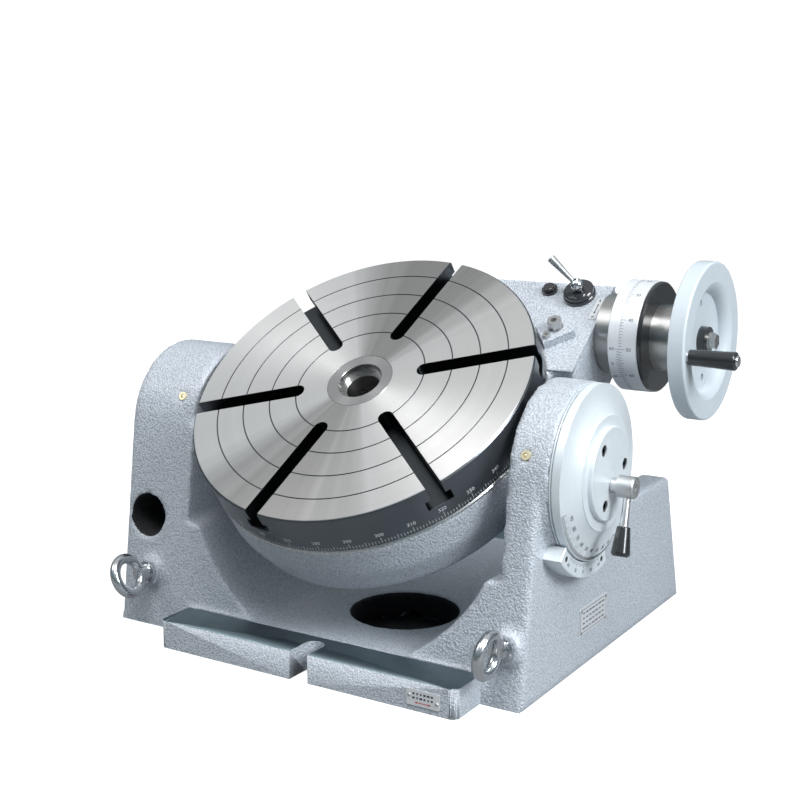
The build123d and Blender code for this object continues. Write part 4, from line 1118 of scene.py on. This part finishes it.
@dataclass
class Studio:
    """Plain pale floor, soft lights and the camera."""

    eye: tuple[float, float, float] = (0.67306, -1.06230, 0.46927)
    azimuth: float = 31.925
    elevation: float = 10.535
    lens: float = 63.26
    shift: tuple[float, float] = (0.00525, -0.01725)
    dim: float = 0.03
    bright: float = 0.66
    backdrop: float = 1.05
    low_tint: tuple[float, float, float, float] = (0.60, 0.85, 1.0, 1.0)
    floor_glow: float = 0.92
    # Radii where the floor's painted shade under the bed fades out.
    shade: tuple[float, float] = (100 * MM, 130 * MM)
    lights: tuple = (
        ("key", (2.1, -0.4, 1.4), 1.0, 62.0, (0.93, 0.97, 1.0)),
        ("overhead", (0.5, -1.0, 2.2), 1.0, 36.0, (1.0, 1.0, 1.0)),
        ("fill", (-1.5, -1.3, 1.9), 0.9, 12.0, (1.0, 0.99, 0.97)),
    )

    def build(self) -> None:
        """Lay the floor, hang the lights and stand the camera."""
        self.floor()
        for name, spot, size, power, colour in self.lights:
            light = bpy.data.lights.new(name, "AREA")
            light.size = size
            light.energy = power
            light.color = colour
            holder = bpy.data.objects.new(name, light)
            holder.location = spot
            aim = Vector((0, 0, 0.15)) - Vector(spot)
            holder.rotation_euler = aim.to_track_quat("-Z", "Y").to_euler()
            bpy.context.scene.collection.objects.link(holder)
        self.sky()
        self.camera()

    def floor(self) -> None:
        """Wide floor that fades into the background."""
        mesh = bpy.data.meshes.new("floor")
        half = 30.0
        mesh.from_pydata([(-half, -half, 0), (half, -half, 0), (half, half, 0), (-half, half, 0)],
                         [], [(0, 1, 2, 3)])
        mesh.materials.append(self.floor_paint())
        floor = bpy.data.objects.new("floor", mesh)
        floor.location.z = -0.05 * MM
        bpy.context.scene.collection.objects.link(floor)

    def floor_paint(self) -> bpy.types.Material:
        """Pale matt paint, lifted to the backdrop's white for the eye, with a near-black patch of
        painted shade under the bed.
        """
        g = FLOOR.build()
        seen = g.add("ShaderNodeLightPath").outputs["Is Camera Ray"]
        g.put(g.shader.inputs["Emission Color"], WHITE)
        # Near-black painted shade round the bed's opening, fading out between the two radii; the
        # glow for the eye is off there too.
        apart = g.vector("DISTANCE", g.place, FLOOR_HOLE.translation, out="Value")
        outside_painted_shade = g.span(apart, *self.shade)
        g.put(g.shader.inputs["Emission Strength"],
              g.calc("MULTIPLY", g.calc("MULTIPLY", seen, outside_painted_shade), self.floor_glow))
        g.surface(colour=g.mixed(outside_painted_shade, DEEP_PAINTED_SHADE, FLOOR.colour))
        return g.material

    def sky(self) -> None:
        """White to the eye; to the object, bright overhead and dim below."""
        world = bpy.data.worlds.new("surround")
        world.use_nodes = True
        nodes, links = world.node_tree.nodes, world.node_tree.links
        seen = nodes.new("ShaderNodeLightPath").outputs["Is Camera Ray"]
        split = nodes.new("ShaderNodeSeparateXYZ")
        links.new(nodes.new("ShaderNodeTexCoord").outputs["Generated"], split.inputs[0])
        height = nodes.new("ShaderNodeMapRange")
        for key, value in (("From Min", -0.15), ("From Max", 0.9), ("To Min", self.dim),
                           ("To Max", self.bright)):
            height.inputs[key].default_value = value
        links.new(split.outputs["Z"], height.inputs["Value"])
        strength = nodes.new("ShaderNodeMix")
        links.new(seen, strength.inputs[0])
        links.new(height.outputs[0], strength.inputs[2])
        strength.inputs[3].default_value = self.backdrop
        links.new(strength.outputs[0], nodes["Background"].inputs["Strength"])
        tint = split.outputs["Z"]
        for share, low, high in ((tint, self.low_tint, WHITE), (seen, None, WHITE)):
            mix = nodes.new("ShaderNodeMix")
            mix.data_type = "RGBA"
            links.new(share, mix.inputs[0])
            if low:
                mix.inputs[6].default_value = low
            else:
                links.new(tint, mix.inputs[6])
            mix.inputs[7].default_value = high
            tint = mix.outputs[2]
        links.new(tint, nodes["Background"].inputs["Color"])
        bpy.context.scene.world = world
        bpy.context.scene.view_settings.view_transform = "Standard"

    def camera(self) -> None:
        """Camera in front, to the right and a little above."""
        data = bpy.data.cameras.new("camera")
        data.lens = self.lens
        data.shift_x, data.shift_y = self.shift
        camera = bpy.data.objects.new("camera", data)
        camera.location = self.eye
        camera.rotation_euler = (math.radians(90 - self.elevation), 0,
                                 math.radians(self.azimuth))
        bpy.context.scene.collection.objects.link(camera)
        bpy.context.scene.camera = camera


def main() -> None:
    """Build every sub-assembly, then the studio."""
    logging.basicConfig(level=logging.INFO, format="%(message)s")
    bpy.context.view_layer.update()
    for part in (Base(), Cradle(), Faceplate(), DialStack(), TiltDial()):
        part.build()
        part.dress()
    Studio().build()


if __name__ == "__main__":
    main()
